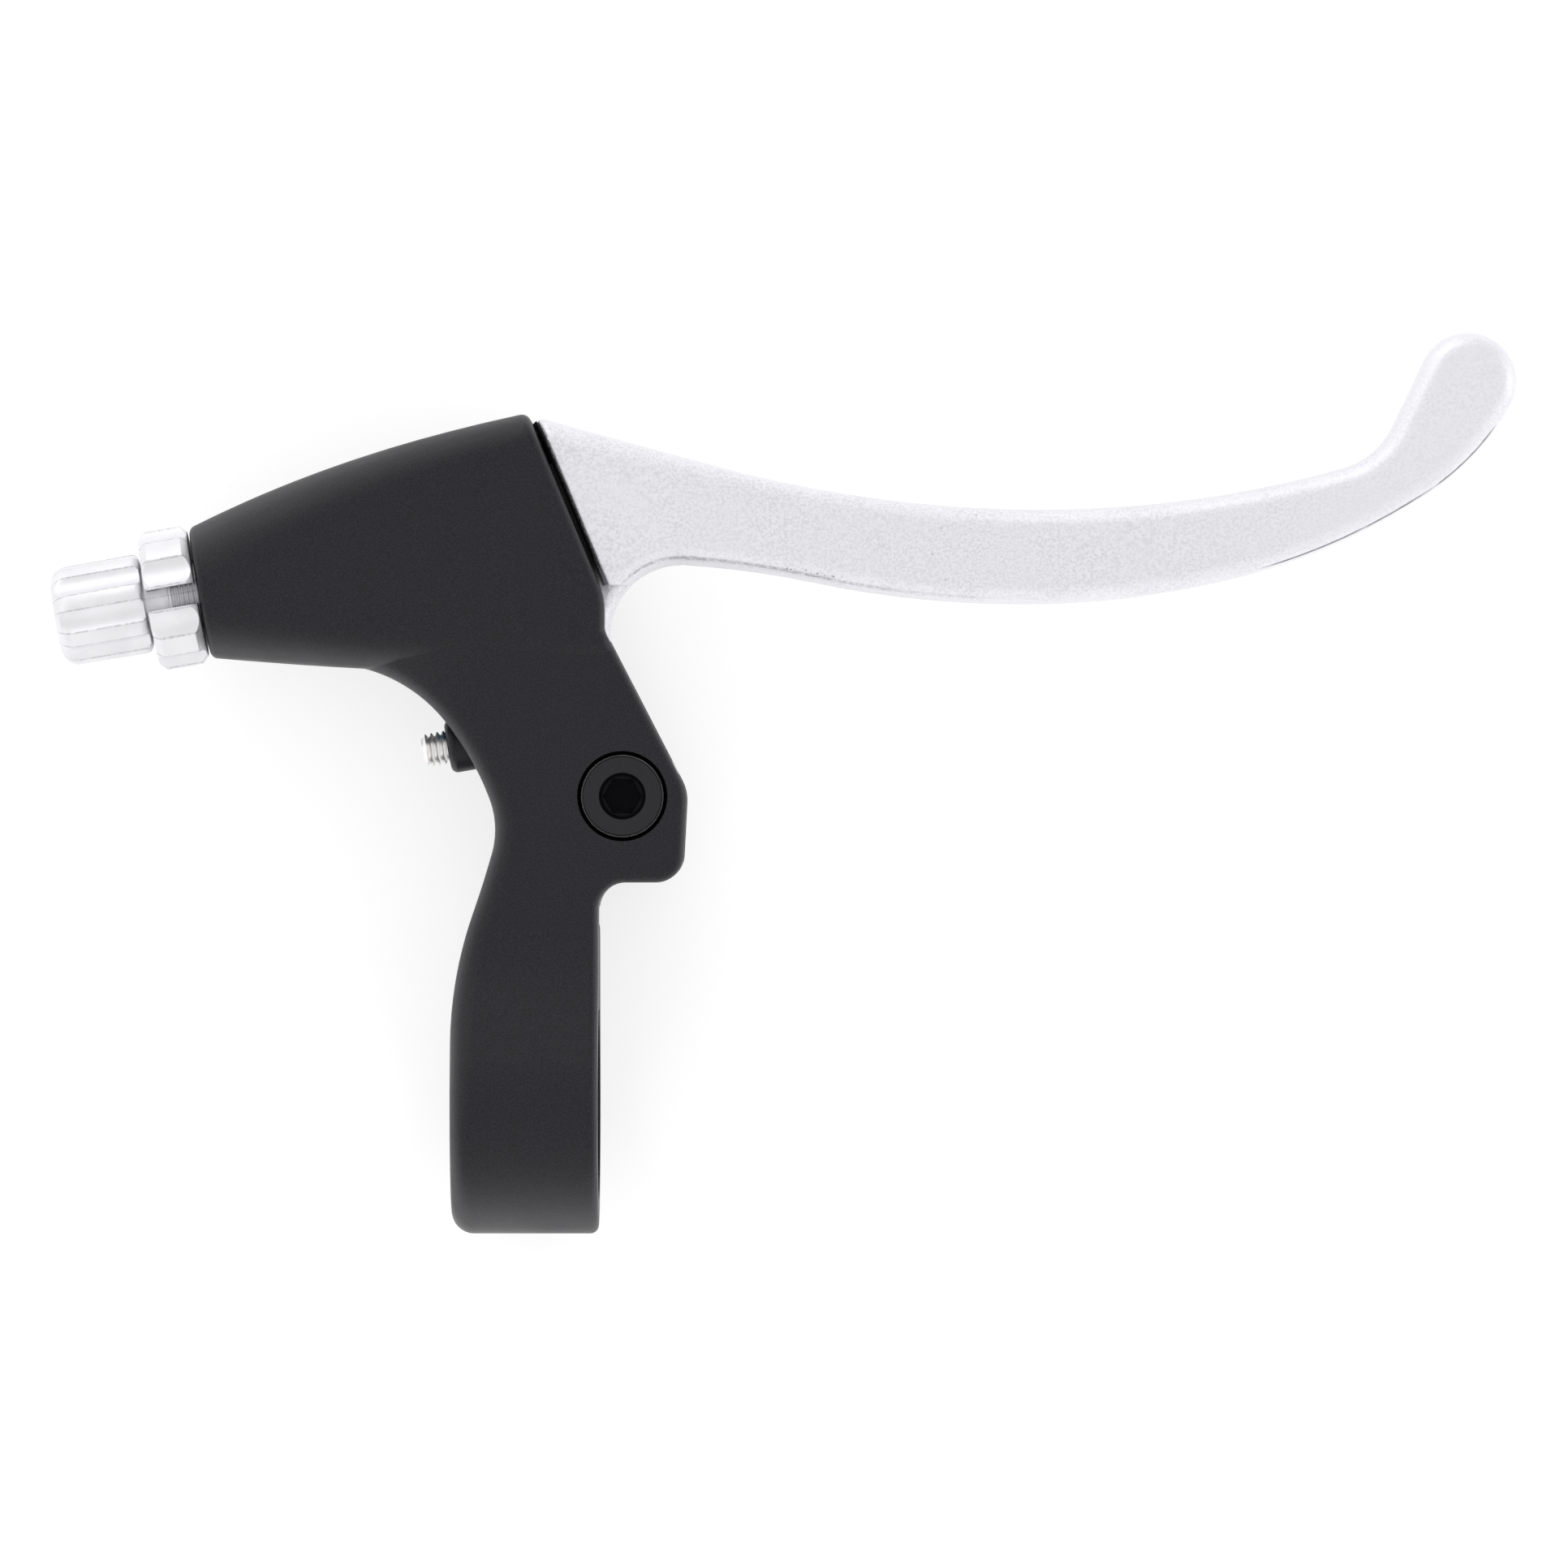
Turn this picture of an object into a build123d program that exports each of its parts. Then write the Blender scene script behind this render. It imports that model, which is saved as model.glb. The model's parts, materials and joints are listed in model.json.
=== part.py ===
from build123d import *

import os
from math import asin, atan2, cos, degrees, hypot, radians, sin, tan

# A bicycle brake lever for a straight bar, in millimetres. The bar runs along X through the origin, the
# bracket reaches forwards along +Y, and the pivot stands along Z, with its bolt head on the upper side.

# Bar clamp
bar_diameter = 22.2
clamp_wall = 3.9
clamp_width = 17.0
clamp_edge_radius = 2.6
clamp_side_height = 7.0
slit_width = 2.5
slit_depth_below_bar_axis = 2.6
neck_slope = 20.0
neck_blend_radius = 26.0
neck_run = 10.0
lug_slope = 7.0
lug_corner_radius = 4.0
clamp_step_gap = 1.5
clamp_step_radius = 1.5

# Clamp bolt
clamp_bolt_diameter = 5.0
clamp_bolt_length = 16.0
clamp_bolt_head_diameter = 8.5
clamp_bolt_head_height = 5.0
clamp_bolt_key = 4.0
clamp_bolt_key_depth = 2.6
clamp_bolt_bevel = 0.5
clamp_bolt_offset = 4.9
clamp_bolt_land = 1.1
clamp_bolt_seat_wall = 4.4
clamp_bolt_hole_clearance = 0.25
clamp_bolt_head_clearance = 0.4

# Pivot and cheeks
pivot_x = 11.3
pivot_y = 35.6
cheek_span = 19.4
slot_width = 9.0
cheek_front = 7.45
neck_back_x = -17.2
neck_back_drop = 0.65
neck_waist_x = -15.05
neck_waist_y = -6.6
cheek_back_x = -15.3
cheek_back_y = -0.4
shoulder_x = -20.6
shoulder_y = 8.8
shoulder_end_x = -31.2
shoulder_end_y = 15.0
cheek_heel = 9.95
cheek_heel_taper = 0.55
cheek_heel_radius = 3.2
cheek_knee = 0.6
cheek_knee_radius = 5.0
cheek_edge_radius = 1.0
cheek_taper_start = 15.9
cheek_taper_radius = 22.0
cheek_taper_turn = 48.0
cheek_taper_floor = 2.6
waist_x = -2.05
waist_y = 19.0
waist_radius = 5.0
waist_overlap = 4.2
waist_lean = 0.5
pivot_diameter = 6.0
pivot_thread_diameter = 5.0
pivot_head_diameter = 9.5
pivot_head_height = 2.3
pivot_head_sink = 0.5
pivot_head_gap = 0.45
pivot_head_bevel = 0.3
pivot_key = 4.0
pivot_key_depth = 4.2
pivot_key_mouth = 5.35
pivot_key_mouth_depth = 1.6
pivot_nut_flats = 8.0
pivot_nut_height = 2.7

# Cable line and head of the bracket
cable_tilt = 10.0
cable_offset = 31.6
head_length = 44.1
head_overrun = 7.0
nose_diameter = 15.2
head_thickness = 20.4
head_rise = 6.3
head_drop = 10.1
head_corner_radius = 3.6
head_stations = (0.0, 0.06, 0.22, 0.45, 0.72, 1.0)
head_top_power = 2.4
head_bottom_power = 1.35
head_side_power = 2.2
head_corner_power = 1.5
nose_corner_share = 0.97
nose_edge_radius = 0.9
mouth_tilt = 22.7
mouth_gap = 0.3
mouth_edge_radius = 1.1
mouth_foot_radius = 8.0

# Lever arm between the cheeks
arm_thickness = 8.0
arm_eye_wall = 2.85
arm_clearance = 0.8
arm_side_play = 0.1
nipple_back = 13.0
nipple_diameter = 7.2
nipple_depth = 6.0
nipple_wall = 2.0
arm_root_drop = 0.3
arm_root_overlap = 2.0
cable_slot_width = 2.2
web_radius = 8.2
web_edge_radius = 1.5

# Blade
root_thickness = 17.0
grip_thickness = 12.2
tip_thickness = 11.0
blade_draft = 3.0
blade_front_radius = 2.0
blade_rear_radius = 0.6
root_height = 13.8
root_lead = 0.3
root_flat = 6.0
root_heel_turn = 45.0
root_corner_radius = 0.8
root_edge_bevel = 0.35
grip_lead = 5.0
ball_radius = 5.65
ball_neck_radius = 9.0
ball_end_angle = -23.0

# Blade outline: the front edge, the ball, then the rear edge, measured from the pivot
top_break_x = 10.5
top_break_y = 38.25
belly_top_x = 44.3
belly_top_y = 33.2
ball_neck_x = 83.2
ball_neck_y = 37.9
ball_x = 97.7
ball_y = 47.95
rear_turn_x = 93.2
rear_turn_y = 35.0
rear_bend_x = 70.6
rear_bend_y = 25.1
belly_bottom_x = 46.2
belly_bottom_y = 22.15
hump_break_x = 21.8
hump_break_y = 24.7
hump_x = 7.2
hump_y = 26.7

# Bushes
bush_wall = 1.0
bush_flange_radius = 5.6
bush_length = 3.4

# Cable adjuster and its lock nut
adjuster_thread = 8.0
adjuster_thread_length = 17.0
adjuster_head_diameter = 11.5
adjuster_head_length = 10.6
adjuster_dome = 2.0
adjuster_dome_turn = 84.0
adjuster_flare = 0.15
adjuster_cone = 1.2
adjuster_shoulder_step = 0.6
adjuster_flutes = 8
adjuster_flute_depth = 0.6
adjuster_flute_radius = 2.2
adjuster_flute_turn = -8.5
housing_bore = 6.1
housing_seat_depth = 7.5
cable_bore = 2.6
cable_passage = 5.0
lock_nut_diameter = 16.2
lock_nut_width = 5.7
lock_nut_slot = 2.5
lock_nut_gap = 0.3
lock_nut_bevel = 0.8
lock_nut_flutes = 8
lock_nut_flute_depth = 0.7
lock_nut_flute_radius = 3.0
lock_nut_flute_turn = 180 / lock_nut_flutes
thread_depth_in_nose = 14.0

# Reach screw
reach_screw_diameter = 4.0
reach_screw_length = 12.0
reach_screw_key = 2.0
reach_screw_key_depth = 2.5
reach_offset = 9.1
reach_lug_radius = 3.1
reach_lug_edge_radius = 0.8
reach_lug_end = 19.0
reach_stop_depth = 1.4
reach_stop_gap = 0.1
reach_stop_margin = 0.6

# Clearances
running_clearance = 0.05
press_clearance = 0.02
thread_clearance = 0.05
thread_lead = 0.5

# Limits for picking edges and faces, and the length by which cuts run past the part
pick_margin = 0.1
broad_limit = 0.95
wall_limit = 0.3
front_limit = 0.2
cut_past = 1.0
far_past = 300.0

# Places worked out from the sizes
pivot = Vector(pivot_x, pivot_y)
bush_radius = pivot_diameter / 2 + running_clearance + bush_wall
arm_eye_radius = bush_radius + arm_eye_wall
clamp_bolt_y = bar_diameter / 2 + clamp_bolt_offset
lug_end = clamp_bolt_y + clamp_bolt_head_diameter / 2 + clamp_bolt_land
clamp_step = lug_end + clamp_step_gap
neck_back = Vector(pivot_x + neck_back_x, clamp_step - neck_back_drop)
neck_waist = pivot + Vector(neck_waist_x, neck_waist_y)
cheek_back = pivot + Vector(cheek_back_x, cheek_back_y)
shoulder = pivot + Vector(shoulder_x, shoulder_y)
shoulder_end = pivot + Vector(shoulder_end_x, shoulder_end_y)
waist = pivot + Vector(waist_x, waist_y)
top_break = pivot + Vector(top_break_x, top_break_y)
belly_top = pivot + Vector(belly_top_x, belly_top_y)
ball_neck = pivot + Vector(ball_neck_x, ball_neck_y)
ball = pivot + Vector(ball_x, ball_y)
rear_turn = pivot + Vector(rear_turn_x, rear_turn_y)
rear_bend = pivot + Vector(rear_bend_x, rear_bend_y)
belly_bottom = pivot + Vector(belly_bottom_x, belly_bottom_y)
hump_break = pivot + Vector(hump_break_x, hump_break_y)
hump = pivot + Vector(hump_x, hump_y)
ring_radius = bar_diameter / 2 + clamp_wall
half_width = clamp_width / 2
cheek_half = cheek_span / 2
slot_half = slot_width / 2
arm_half = arm_thickness / 2
along = Vector(cos(radians(cable_tilt)), sin(radians(cable_tilt)))
across = Vector(-along.Y, along.X)
cable_foot = pivot + across * cable_offset
nose = cable_foot - along * head_length
nipple = cable_foot - along * nipple_back
nipple_boss_radius = nipple_diameter / 2 + nipple_wall
mouth_down = Vector(sin(radians(mouth_tilt)), -cos(radians(mouth_tilt)))
mouth_out = Vector(-mouth_down.Y, mouth_down.X)
cable_plan = Plane(origin=nose, x_dir=along, z_dir=(0, 0, 1))
cable_axis = Axis(nose, along)
reach_foot = pivot + across * reach_offset
arm_lean = atan2(nipple_back, cable_offset)
reach_contact = arm_eye_radius / cos(arm_lean) + reach_offset * tan(arm_lean) - reach_stop_depth
arm_sweep = hypot(nipple_back, cable_offset) + nipple_boss_radius - cable_offset
pivot_seat = cheek_half - pivot_head_sink - pivot_head_height
pivot_nut_seat = cheek_half - pivot_nut_height
slit_top = -slit_depth_below_bar_axis
slit_bottom = slit_top - slit_width
clamp_bolt_seat = slit_bottom - clamp_bolt_seat_wall
clamp_bolt_tip = clamp_bolt_seat + clamp_bolt_length
mouth = cable_foot
root_face = mouth + mouth_out * mouth_gap
root_top = root_face - mouth_down * root_height
bush_flange = slot_half - arm_half - arm_side_play
adjuster_radius = adjuster_head_diameter / 2
adjuster_shoulder = -lock_nut_width - 2 * lock_nut_gap
adjuster_end = adjuster_shoulder - adjuster_head_length
adjuster_tip = adjuster_shoulder + adjuster_thread_length
thread_radius = adjuster_thread / 2 - thread_clearance
reach_tip = reach_contact + reach_stop_gap
mouth_low = mouth + mouth_down * ((waist.X - mouth.X) / mouth_down.X)


def plan_point(base, distance_along, distance_across):
    """A point in plan, measured along and across the cable line from a base point."""
    return base + along * distance_along + across * distance_across


def tangent_heading(first_centre, first_radius, second_centre, second_radius):
    """Heading in degrees of the line that leaves a left turn and enters a right turn."""
    offset_x = second_centre.X - first_centre.X
    offset_y = second_centre.Y - first_centre.Y
    bearing = degrees(atan2(offset_y, offset_x))
    return bearing + degrees(asin((first_radius + second_radius) / hypot(offset_x, offset_y)))


def turn_point(centre, radius, heading):
    """The point of a left turn at a heading. A negative radius gives a right turn."""
    return centre + Vector(sin(radians(heading)), -cos(radians(heading))) * radius


def on_outer_rim(point):
    """True on the outside edges of the neck and clamp, away from the bore, the slit and the step."""
    in_slit = slit_bottom - pick_margin < point.Z < slit_top + pick_margin
    on_step = abs(point.Y - clamp_step) < pick_margin
    on_head_side = point.X < shoulder_end.X + pick_margin
    in_head = on_head_side or point.Y > waist.Y + waist_overlap - pick_margin
    on_taper_start = abs(point.X - taper_start) < pick_margin
    outside = hypot(point.Y, point.Z) > ring_radius - pick_margin
    return outside and not (in_slit or on_step or in_head or on_taper_start)


def blade_rim(builder, side):
    """Edges between the broad faces of the blade and its walls: side 1 is the front, -1 the rear."""
    broad = builder.faces().filter_by(lambda face: abs(face.normal_at().Z) > broad_limit)
    walls = builder.faces().filter_by(lambda face: abs(face.normal_at().Z) < wall_limit)
    side_walls = walls.filter_by(lambda face: (face.normal_at().Y - front_limit) * side > 0)
    return side_walls.edges() & broad.edges()


os.makedirs("parts", exist_ok=True)


# Bracket head: round at the nose, a rounded rectangle at the mouth
with BuildPart() as head:
    full_length = head_length + head_overrun
    nose_radius = nose_diameter / 2
    for station in head_stations:
        rest_of_way = 1 - station
        top = nose_radius + head_rise * (1 - rest_of_way**head_top_power)
        bottom = nose_radius + head_drop * (1 - rest_of_way**head_bottom_power)
        thinning = (head_thickness / 2 - nose_radius) * rest_of_way**head_side_power
        half_height = head_thickness / 2 - thinning
        nose_corner = nose_corner_share * nose_radius
        corner = head_corner_radius + (nose_corner - head_corner_radius) * rest_of_way**head_corner_power
        section = Plane(origin=nose + along * full_length * station, x_dir=across, z_dir=along)
        with BuildSketch(section):
            with Locations(((top - bottom) / 2, 0)):
                RectangleRounded(top + bottom, 2 * half_height, corner)
    loft()

    with BuildSketch():
        with BuildLine():
            mouth_high = mouth - mouth_down * head_length
            FilletPolyline(mouth_high, mouth_low, waist, radius=mouth_foot_radius)
            Polyline(
                waist,
                pivot + Vector(cheek_front, cheek_knee),
                nose + Vector(-head_length, -head_length),
                nose + Vector(-head_length, head_length),
                mouth_high,
            )
        make_face()
    extrude(amount=head_thickness, both=True, mode=Mode.INTERSECT)
    mouth_rim = head.edges(Select.NEW).filter_by(Axis.Z, reverse=True)
    fillet(mouth_rim, mouth_edge_radius)
    fillet(head.faces().sort_by(cable_axis)[0].edges(), nose_edge_radius)

# Neck, cheeks and clamp: the plan outline crossed with the side outline
with BuildPart() as lower:
    clamp_back = -ring_radius - cut_past
    waist_top = waist + Vector(-waist_lean, waist_overlap)
    with BuildSketch():
        with BuildLine():
            back_edge = Line((-half_width, clamp_back), (-half_width, clamp_side_height))
            for next_point in (neck_back, neck_waist, cheek_back, shoulder, shoulder_end):
                back_edge = TangentArc(back_edge @ 1, next_point, tangent=back_edge % 1)
            Line((-half_width, clamp_back), (half_width, clamp_back))
            FilletPolyline(
                (half_width, clamp_back),
                (half_width, pivot_y - cheek_heel),
                (pivot_x + cheek_front - cheek_heel_taper, pivot_y - cheek_heel),
                (pivot_x + cheek_front, pivot_y + cheek_knee),
                waist,
                waist_top,
                radius=[cheek_heel_radius, cheek_heel_radius, cheek_knee_radius, waist_radius],
            )
            Polyline(waist_top, (shoulder_end.X, waist_top.Y), shoulder_end)
        make_face()
    extrude(amount=2 * ring_radius, both=True)
    with BuildSketch(Plane.YZ):
        slope_start = Vector(sin(radians(neck_slope)), cos(radians(neck_slope))) * ring_radius
        slope_end_y = slope_start.X + (slope_start.Y - cheek_half) / tan(radians(neck_slope))
        top_end = waist.Y + neck_run
        Circle(ring_radius)
        with BuildLine():
            slope_end = (slope_end_y, cheek_half)
            FilletPolyline(slope_start, slope_end, (top_end, cheek_half), radius=neck_blend_radius)
            Polyline((top_end, cheek_half), (top_end, -cheek_half), (clamp_step, -cheek_half))
            FilletPolyline(
                (clamp_step, -cheek_half),
                (clamp_step, slit_top),
                (0, slit_top),
                radius=clamp_step_radius,
            )
            Polyline((0, slit_top), (0, 0), slope_start)
        make_face()
        lug_start = Vector(sin(radians(lug_slope)), -cos(radians(lug_slope))) * ring_radius
        lug_low = lug_start.Y + (lug_end - lug_start.X) * tan(radians(lug_slope))
        with BuildLine():
            FilletPolyline(
                (0, slit_bottom),
                (lug_end, slit_bottom),
                (lug_end, lug_low),
                lug_start,
                radius=[0, lug_corner_radius],
            )
            Polyline(lug_start, (0, -bar_diameter / 2), (0, slit_bottom))
        make_face()
        Circle(bar_diameter / 2, mode=Mode.SUBTRACT)
        with Locations((lug_end / 2, (slit_top + slit_bottom) / 2)):
            Rectangle(lug_end, slit_width, mode=Mode.SUBTRACT)
    extrude(amount=far_past, both=True, mode=Mode.INTERSECT)

    taper_start = pivot_x - cheek_taper_start
    with BuildSketch(Plane.XZ.offset(cheek_taper_floor - pivot_y)):
        with BuildLine():
            taper = JernArc((taper_start, cheek_half), (-1, 0), cheek_taper_radius, cheek_taper_turn)
            taper_end = (taper @ 1).X
            Polyline(taper @ 1, (taper_end, ring_radius), (taper_start, ring_radius), taper @ 0)
        make_face()
        mirror(about=Plane.XZ)
    extrude(amount=-far_past, mode=Mode.SUBTRACT)

    level_edges = lower.edges().filter_by(Axis.Z, reverse=True).filter_by(Axis.X, reverse=True)
    rim = level_edges.filter_by(lambda edge: on_outer_rim(edge @ 0.5))
    back_rim = rim.filter_by(lambda edge: (edge @ 0.5).X < 0)
    front_rim = rim.filter_by(lambda edge: (edge @ 0.5).X > 0)
    upper_back = back_rim.filter_by(lambda edge: (edge @ 0.5).Z > 0)
    lower_back = back_rim.filter_by(lambda edge: (edge @ 0.5).Z < 0 and (edge @ 0.5).Y > clamp_step)
    fillet(lower_back, clamp_edge_radius)
    fillet(upper_back, clamp_edge_radius)
    fillet(front_rim, cheek_edge_radius)

# Lug of the reach screw on the back of the bracket
with BuildPart() as reach_lug:
    with BuildSketch(Plane(origin=reach_foot - along * reach_lug_end, x_dir=across, z_dir=along)):
        Circle(reach_lug_radius)
    extrude(amount=reach_lug_end - reach_contact - reach_lug_radius)
    fillet(reach_lug.faces().sort_by(cable_axis)[0].edges(), reach_lug_edge_radius)

# Bracket: one casting, with the slot of the arm, the bores and the cable slot cut into it
with BuildPart() as bracket:
    add(head.part)
    add(lower.part)
    add(reach_lug.part)
    with BuildSketch():
        with Locations(pivot):
            Circle(arm_eye_radius + arm_clearance)
        with Locations(nipple):
            Circle(nipple_boss_radius + arm_clearance)
        make_hull()
        with BuildLine():
            Polyline(
                pivot,
                pivot + Vector(0, -arm_eye_radius - arm_clearance),
                pivot + Vector(head_length, -arm_eye_radius - arm_clearance),
                plan_point(cable_foot, head_length, arm_sweep + arm_clearance),
                plan_point(cable_foot, 0, arm_sweep + arm_clearance),
                plan_point(nipple, 0, nipple_boss_radius + arm_clearance),
                nipple,
                close=True,
            )
        make_face()
    extrude(amount=slot_half, both=True, mode=Mode.SUBTRACT)
    with BuildSketch():
        with Locations(pivot):
            Circle(pivot_diameter / 2 + running_clearance)
    extrude(amount=cheek_span, both=True, mode=Mode.SUBTRACT)
    with BuildSketch(Plane.XY.offset(pivot_seat)):
        with Locations(pivot):
            Circle(pivot_head_diameter / 2 + pivot_head_gap)
    extrude(amount=cheek_span, mode=Mode.SUBTRACT)
    with BuildSketch(Plane.XY.offset(-pivot_nut_seat)):
        with Locations(pivot):
            Circle(pivot_head_diameter / 2 + pivot_head_gap)
    extrude(amount=-cheek_span, mode=Mode.SUBTRACT)
    with BuildSketch(Plane(origin=nose, x_dir=across, z_dir=along)):
        Circle(adjuster_thread / 2)
    extrude(amount=thread_depth_in_nose, mode=Mode.SUBTRACT)
    with BuildSketch(Plane(origin=nose, x_dir=across, z_dir=along)):
        Circle(cable_passage / 2)
    extrude(amount=head_length - nipple_back, mode=Mode.SUBTRACT)
    with BuildSketch(cable_plan):
        with Locations(((head_length - nipple_back) / 2, 0)):
            Rectangle(head_length - nipple_back + 2 * cut_past, cable_slot_width)
    extrude(amount=-head_thickness, mode=Mode.SUBTRACT)
    with BuildSketch(Plane(origin=reach_foot, x_dir=across, z_dir=along)):
        Circle(reach_screw_diameter / 2)
    extrude(amount=-reach_lug_end, mode=Mode.SUBTRACT)
    with BuildSketch(Plane.XY.offset(clamp_bolt_tip + cut_past)):
        with Locations((0, clamp_bolt_y)):
            Circle(clamp_bolt_diameter / 2)
    extrude(amount=-2 * ring_radius, mode=Mode.SUBTRACT)
    with BuildSketch(Plane.XY.offset(slit_bottom)):
        with Locations((0, clamp_bolt_y)):
            Circle(clamp_bolt_diameter / 2 + clamp_bolt_hole_clearance)
    extrude(amount=-ring_radius, mode=Mode.SUBTRACT)
    with BuildSketch(Plane.XY.offset(clamp_bolt_seat)):
        with Locations((0, clamp_bolt_y)):
            Circle(clamp_bolt_head_diameter / 2 + clamp_bolt_head_clearance)
    extrude(amount=-ring_radius, mode=Mode.SUBTRACT)
bracket.part.label = "bracket"
export_step(bracket.part, "parts/bracket.step")

# Blade: the plan outline drafted to both sides and crossed with the side outline
with BuildPart() as blade:
    with BuildSketch():
        with BuildLine():
            lead = root_top + (root_top - top_break) * root_lead
            front = Line(lead, top_break)
            front = TangentArc(top_break, belly_top, tangent=front % 1)
            front = TangentArc(belly_top, ball_neck, tangent=front % 1)
            neck_tangent = front % 1
            neck_centre = ball_neck + Vector(-neck_tangent.Y, neck_tangent.X) * ball_neck_radius
            heading = tangent_heading(neck_centre, ball_neck_radius, ball, ball_radius)
            neck_turn = heading - degrees(atan2(neck_tangent.Y, neck_tangent.X))
            front = JernArc(ball_neck, neck_tangent, ball_neck_radius, neck_turn)
            Line(front @ 1, turn_point(ball, -ball_radius, heading))
            ball_arc = CenterArc(ball, ball_radius, heading + 90, ball_end_angle - heading - 90)
            rear = TangentArc(belly_bottom, rear_bend, tangent=(1, 0))
            rear = TangentArc(rear_bend, rear_turn, tangent=rear % 1)
            TangentArc(rear_turn, ball_arc @ 1, tangent=rear % 1)
            rear = TangentArc(belly_bottom, hump_break, tangent=(-1, 0))
            rear = TangentArc(hump_break, hump, tangent=rear % 1)
            rear = JernArc(hump, rear % 1, web_radius, 90)
            web_centre = rear.arc_center
            Polyline(rear @ 1, (rear @ 1) + Vector(-head_length, 0), lead)
        make_face()
        with BuildLine():
            Polyline(
                root_face - mouth_down * head_length,
                root_face + mouth_down * head_length,
                root_face + mouth_down * head_length - mouth_out * 2 * head_length,
                root_face - mouth_down * head_length - mouth_out * 2 * head_length,
                close=True,
            )
        make_face(mode=Mode.SUBTRACT)
    extrude(amount=root_thickness, taper=blade_draft)
    mirror(about=Plane.XY)
    with BuildSketch(Plane.XZ):
        with BuildLine():
            flat_end = (root_face.X + root_flat, root_thickness / 2)
            grip = (belly_top.X - grip_lead, grip_thickness / 2)
            tip = (ball.X + 2 * ball_radius, tip_thickness / 2)
            Polyline((pivot_x - head_length, 0), (pivot_x - head_length, root_thickness / 2), flat_end)
            Spline(flat_end, grip, tangents=[(1, 0), (tip[0] - grip[0], tip[1] - grip[1])])
            Polyline(grip, tip, (tip[0], 0), (pivot_x - head_length, 0))
        make_face()
        mirror(about=Plane.XZ)
    extrude(amount=far_past, both=True, mode=Mode.INTERSECT)
    fillet(blade_rim(blade, 1), blade_front_radius)
    with BuildSketch():
        with Locations(turn_point(web_centre, web_radius, 180 + root_heel_turn)):
            Rectangle(head_length, head_length, align=(Align.MAX, Align.MAX))
    extrude(amount=root_thickness, both=True, mode=Mode.SUBTRACT)
    fillet(blade_rim(blade, -1), blade_rear_radius)
    with BuildSketch():
        corner_side = root_top + mouth_down * root_height / 2
        corner_front = (root_top + top_break) / 2
        corner_out = root_top * 3 - corner_side - corner_front
        with BuildLine():
            FilletPolyline(corner_side, root_top, corner_front, radius=root_corner_radius)
            Polyline(corner_front, corner_out, corner_side)
        make_face()
    extrude(amount=root_thickness, both=True, mode=Mode.SUBTRACT)
    edge_back = root_thickness / 2 * tan(radians(blade_draft))
    with BuildSketch(Plane(origin=root_face, x_dir=mouth_out, z_dir=mouth_down)):
        with BuildLine():
            Polyline(
                (edge_back - root_edge_bevel, root_thickness / 2 - 2 * root_edge_bevel),
                (edge_back + 2 * root_edge_bevel, root_thickness / 2 + root_edge_bevel),
                (edge_back - root_edge_bevel, root_thickness / 2 + root_edge_bevel),
                close=True,
            )
        make_face()
        mirror(about=Plane.XZ)
    extrude(amount=head_length, both=True, mode=Mode.SUBTRACT)

# Lever: the blade and the thin arm between the cheeks, cast in one
with BuildPart() as lever_blade:
    with BuildSketch():
        with Locations(pivot):
            Circle(arm_eye_radius)
        with Locations(nipple):
            Circle(nipple_boss_radius)
        make_hull()
        with BuildLine():
            web_heading = tangent_heading(web_centre, web_radius, pivot, arm_eye_radius)
            web = CenterArc(web_centre, web_radius, 90, 180 + web_heading)
            Polyline(
                web @ 1,
                turn_point(pivot, -arm_eye_radius, web_heading),
                pivot,
                nipple,
                plan_point(nipple, 0, nipple_boss_radius),
                plan_point(cable_foot, 0, arm_sweep - arm_root_drop),
                plan_point(root_face, arm_root_overlap, arm_sweep - arm_root_drop),
                web @ 0,
            )
        make_face()
    extrude(amount=arm_half, both=True)
    with BuildSketch(Plane(origin=web_centre, x_dir=(1, 0, 0), z_dir=(0, -1, 0))):
        with BuildLine():
            edge_foot = (web_radius, arm_half - web_edge_radius)
            rounding = JernArc(edge_foot, (0, 1), web_edge_radius, -90)
            Polyline(
                rounding @ 1,
                (web_radius + web_edge_radius, arm_half + cut_past),
                (web_radius - cut_past, arm_half + cut_past),
                (web_radius - cut_past, arm_half - web_edge_radius),
                edge_foot,
            )
        make_face()
        mirror(about=Plane.XZ)
    revolve(axis=Axis(web_centre, (0, 0, 1)), mode=Mode.SUBTRACT)
    add(blade.part)
    with BuildSketch():
        with Locations(pivot):
            Circle(bush_radius + press_clearance)
    extrude(amount=arm_thickness, both=True, mode=Mode.SUBTRACT)
    with BuildSketch(Plane.XY.offset(-arm_half)):
        with Locations(nipple):
            Circle(nipple_diameter / 2)
    extrude(amount=nipple_depth, mode=Mode.SUBTRACT)
    with BuildSketch(Plane(origin=nipple + Vector(0, 0, -arm_half), x_dir=along, z_dir=(0, 0, 1))):
        with Locations((-nipple_boss_radius, 0)):
            Rectangle(2 * nipple_boss_radius, cable_slot_width)
    extrude(amount=nipple_depth, mode=Mode.SUBTRACT)
    with BuildSketch(Plane(origin=reach_foot - along * reach_contact, x_dir=along, z_dir=(0, 0, 1))):
        with Locations((-arm_eye_radius, 0)):
            Rectangle(2 * arm_eye_radius, reach_screw_diameter + 2 * reach_stop_margin)
    extrude(amount=arm_thickness, both=True, mode=Mode.SUBTRACT)
lever_blade.part.label = "lever_blade"
export_step(lever_blade.part, "parts/lever_blade.step")

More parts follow.
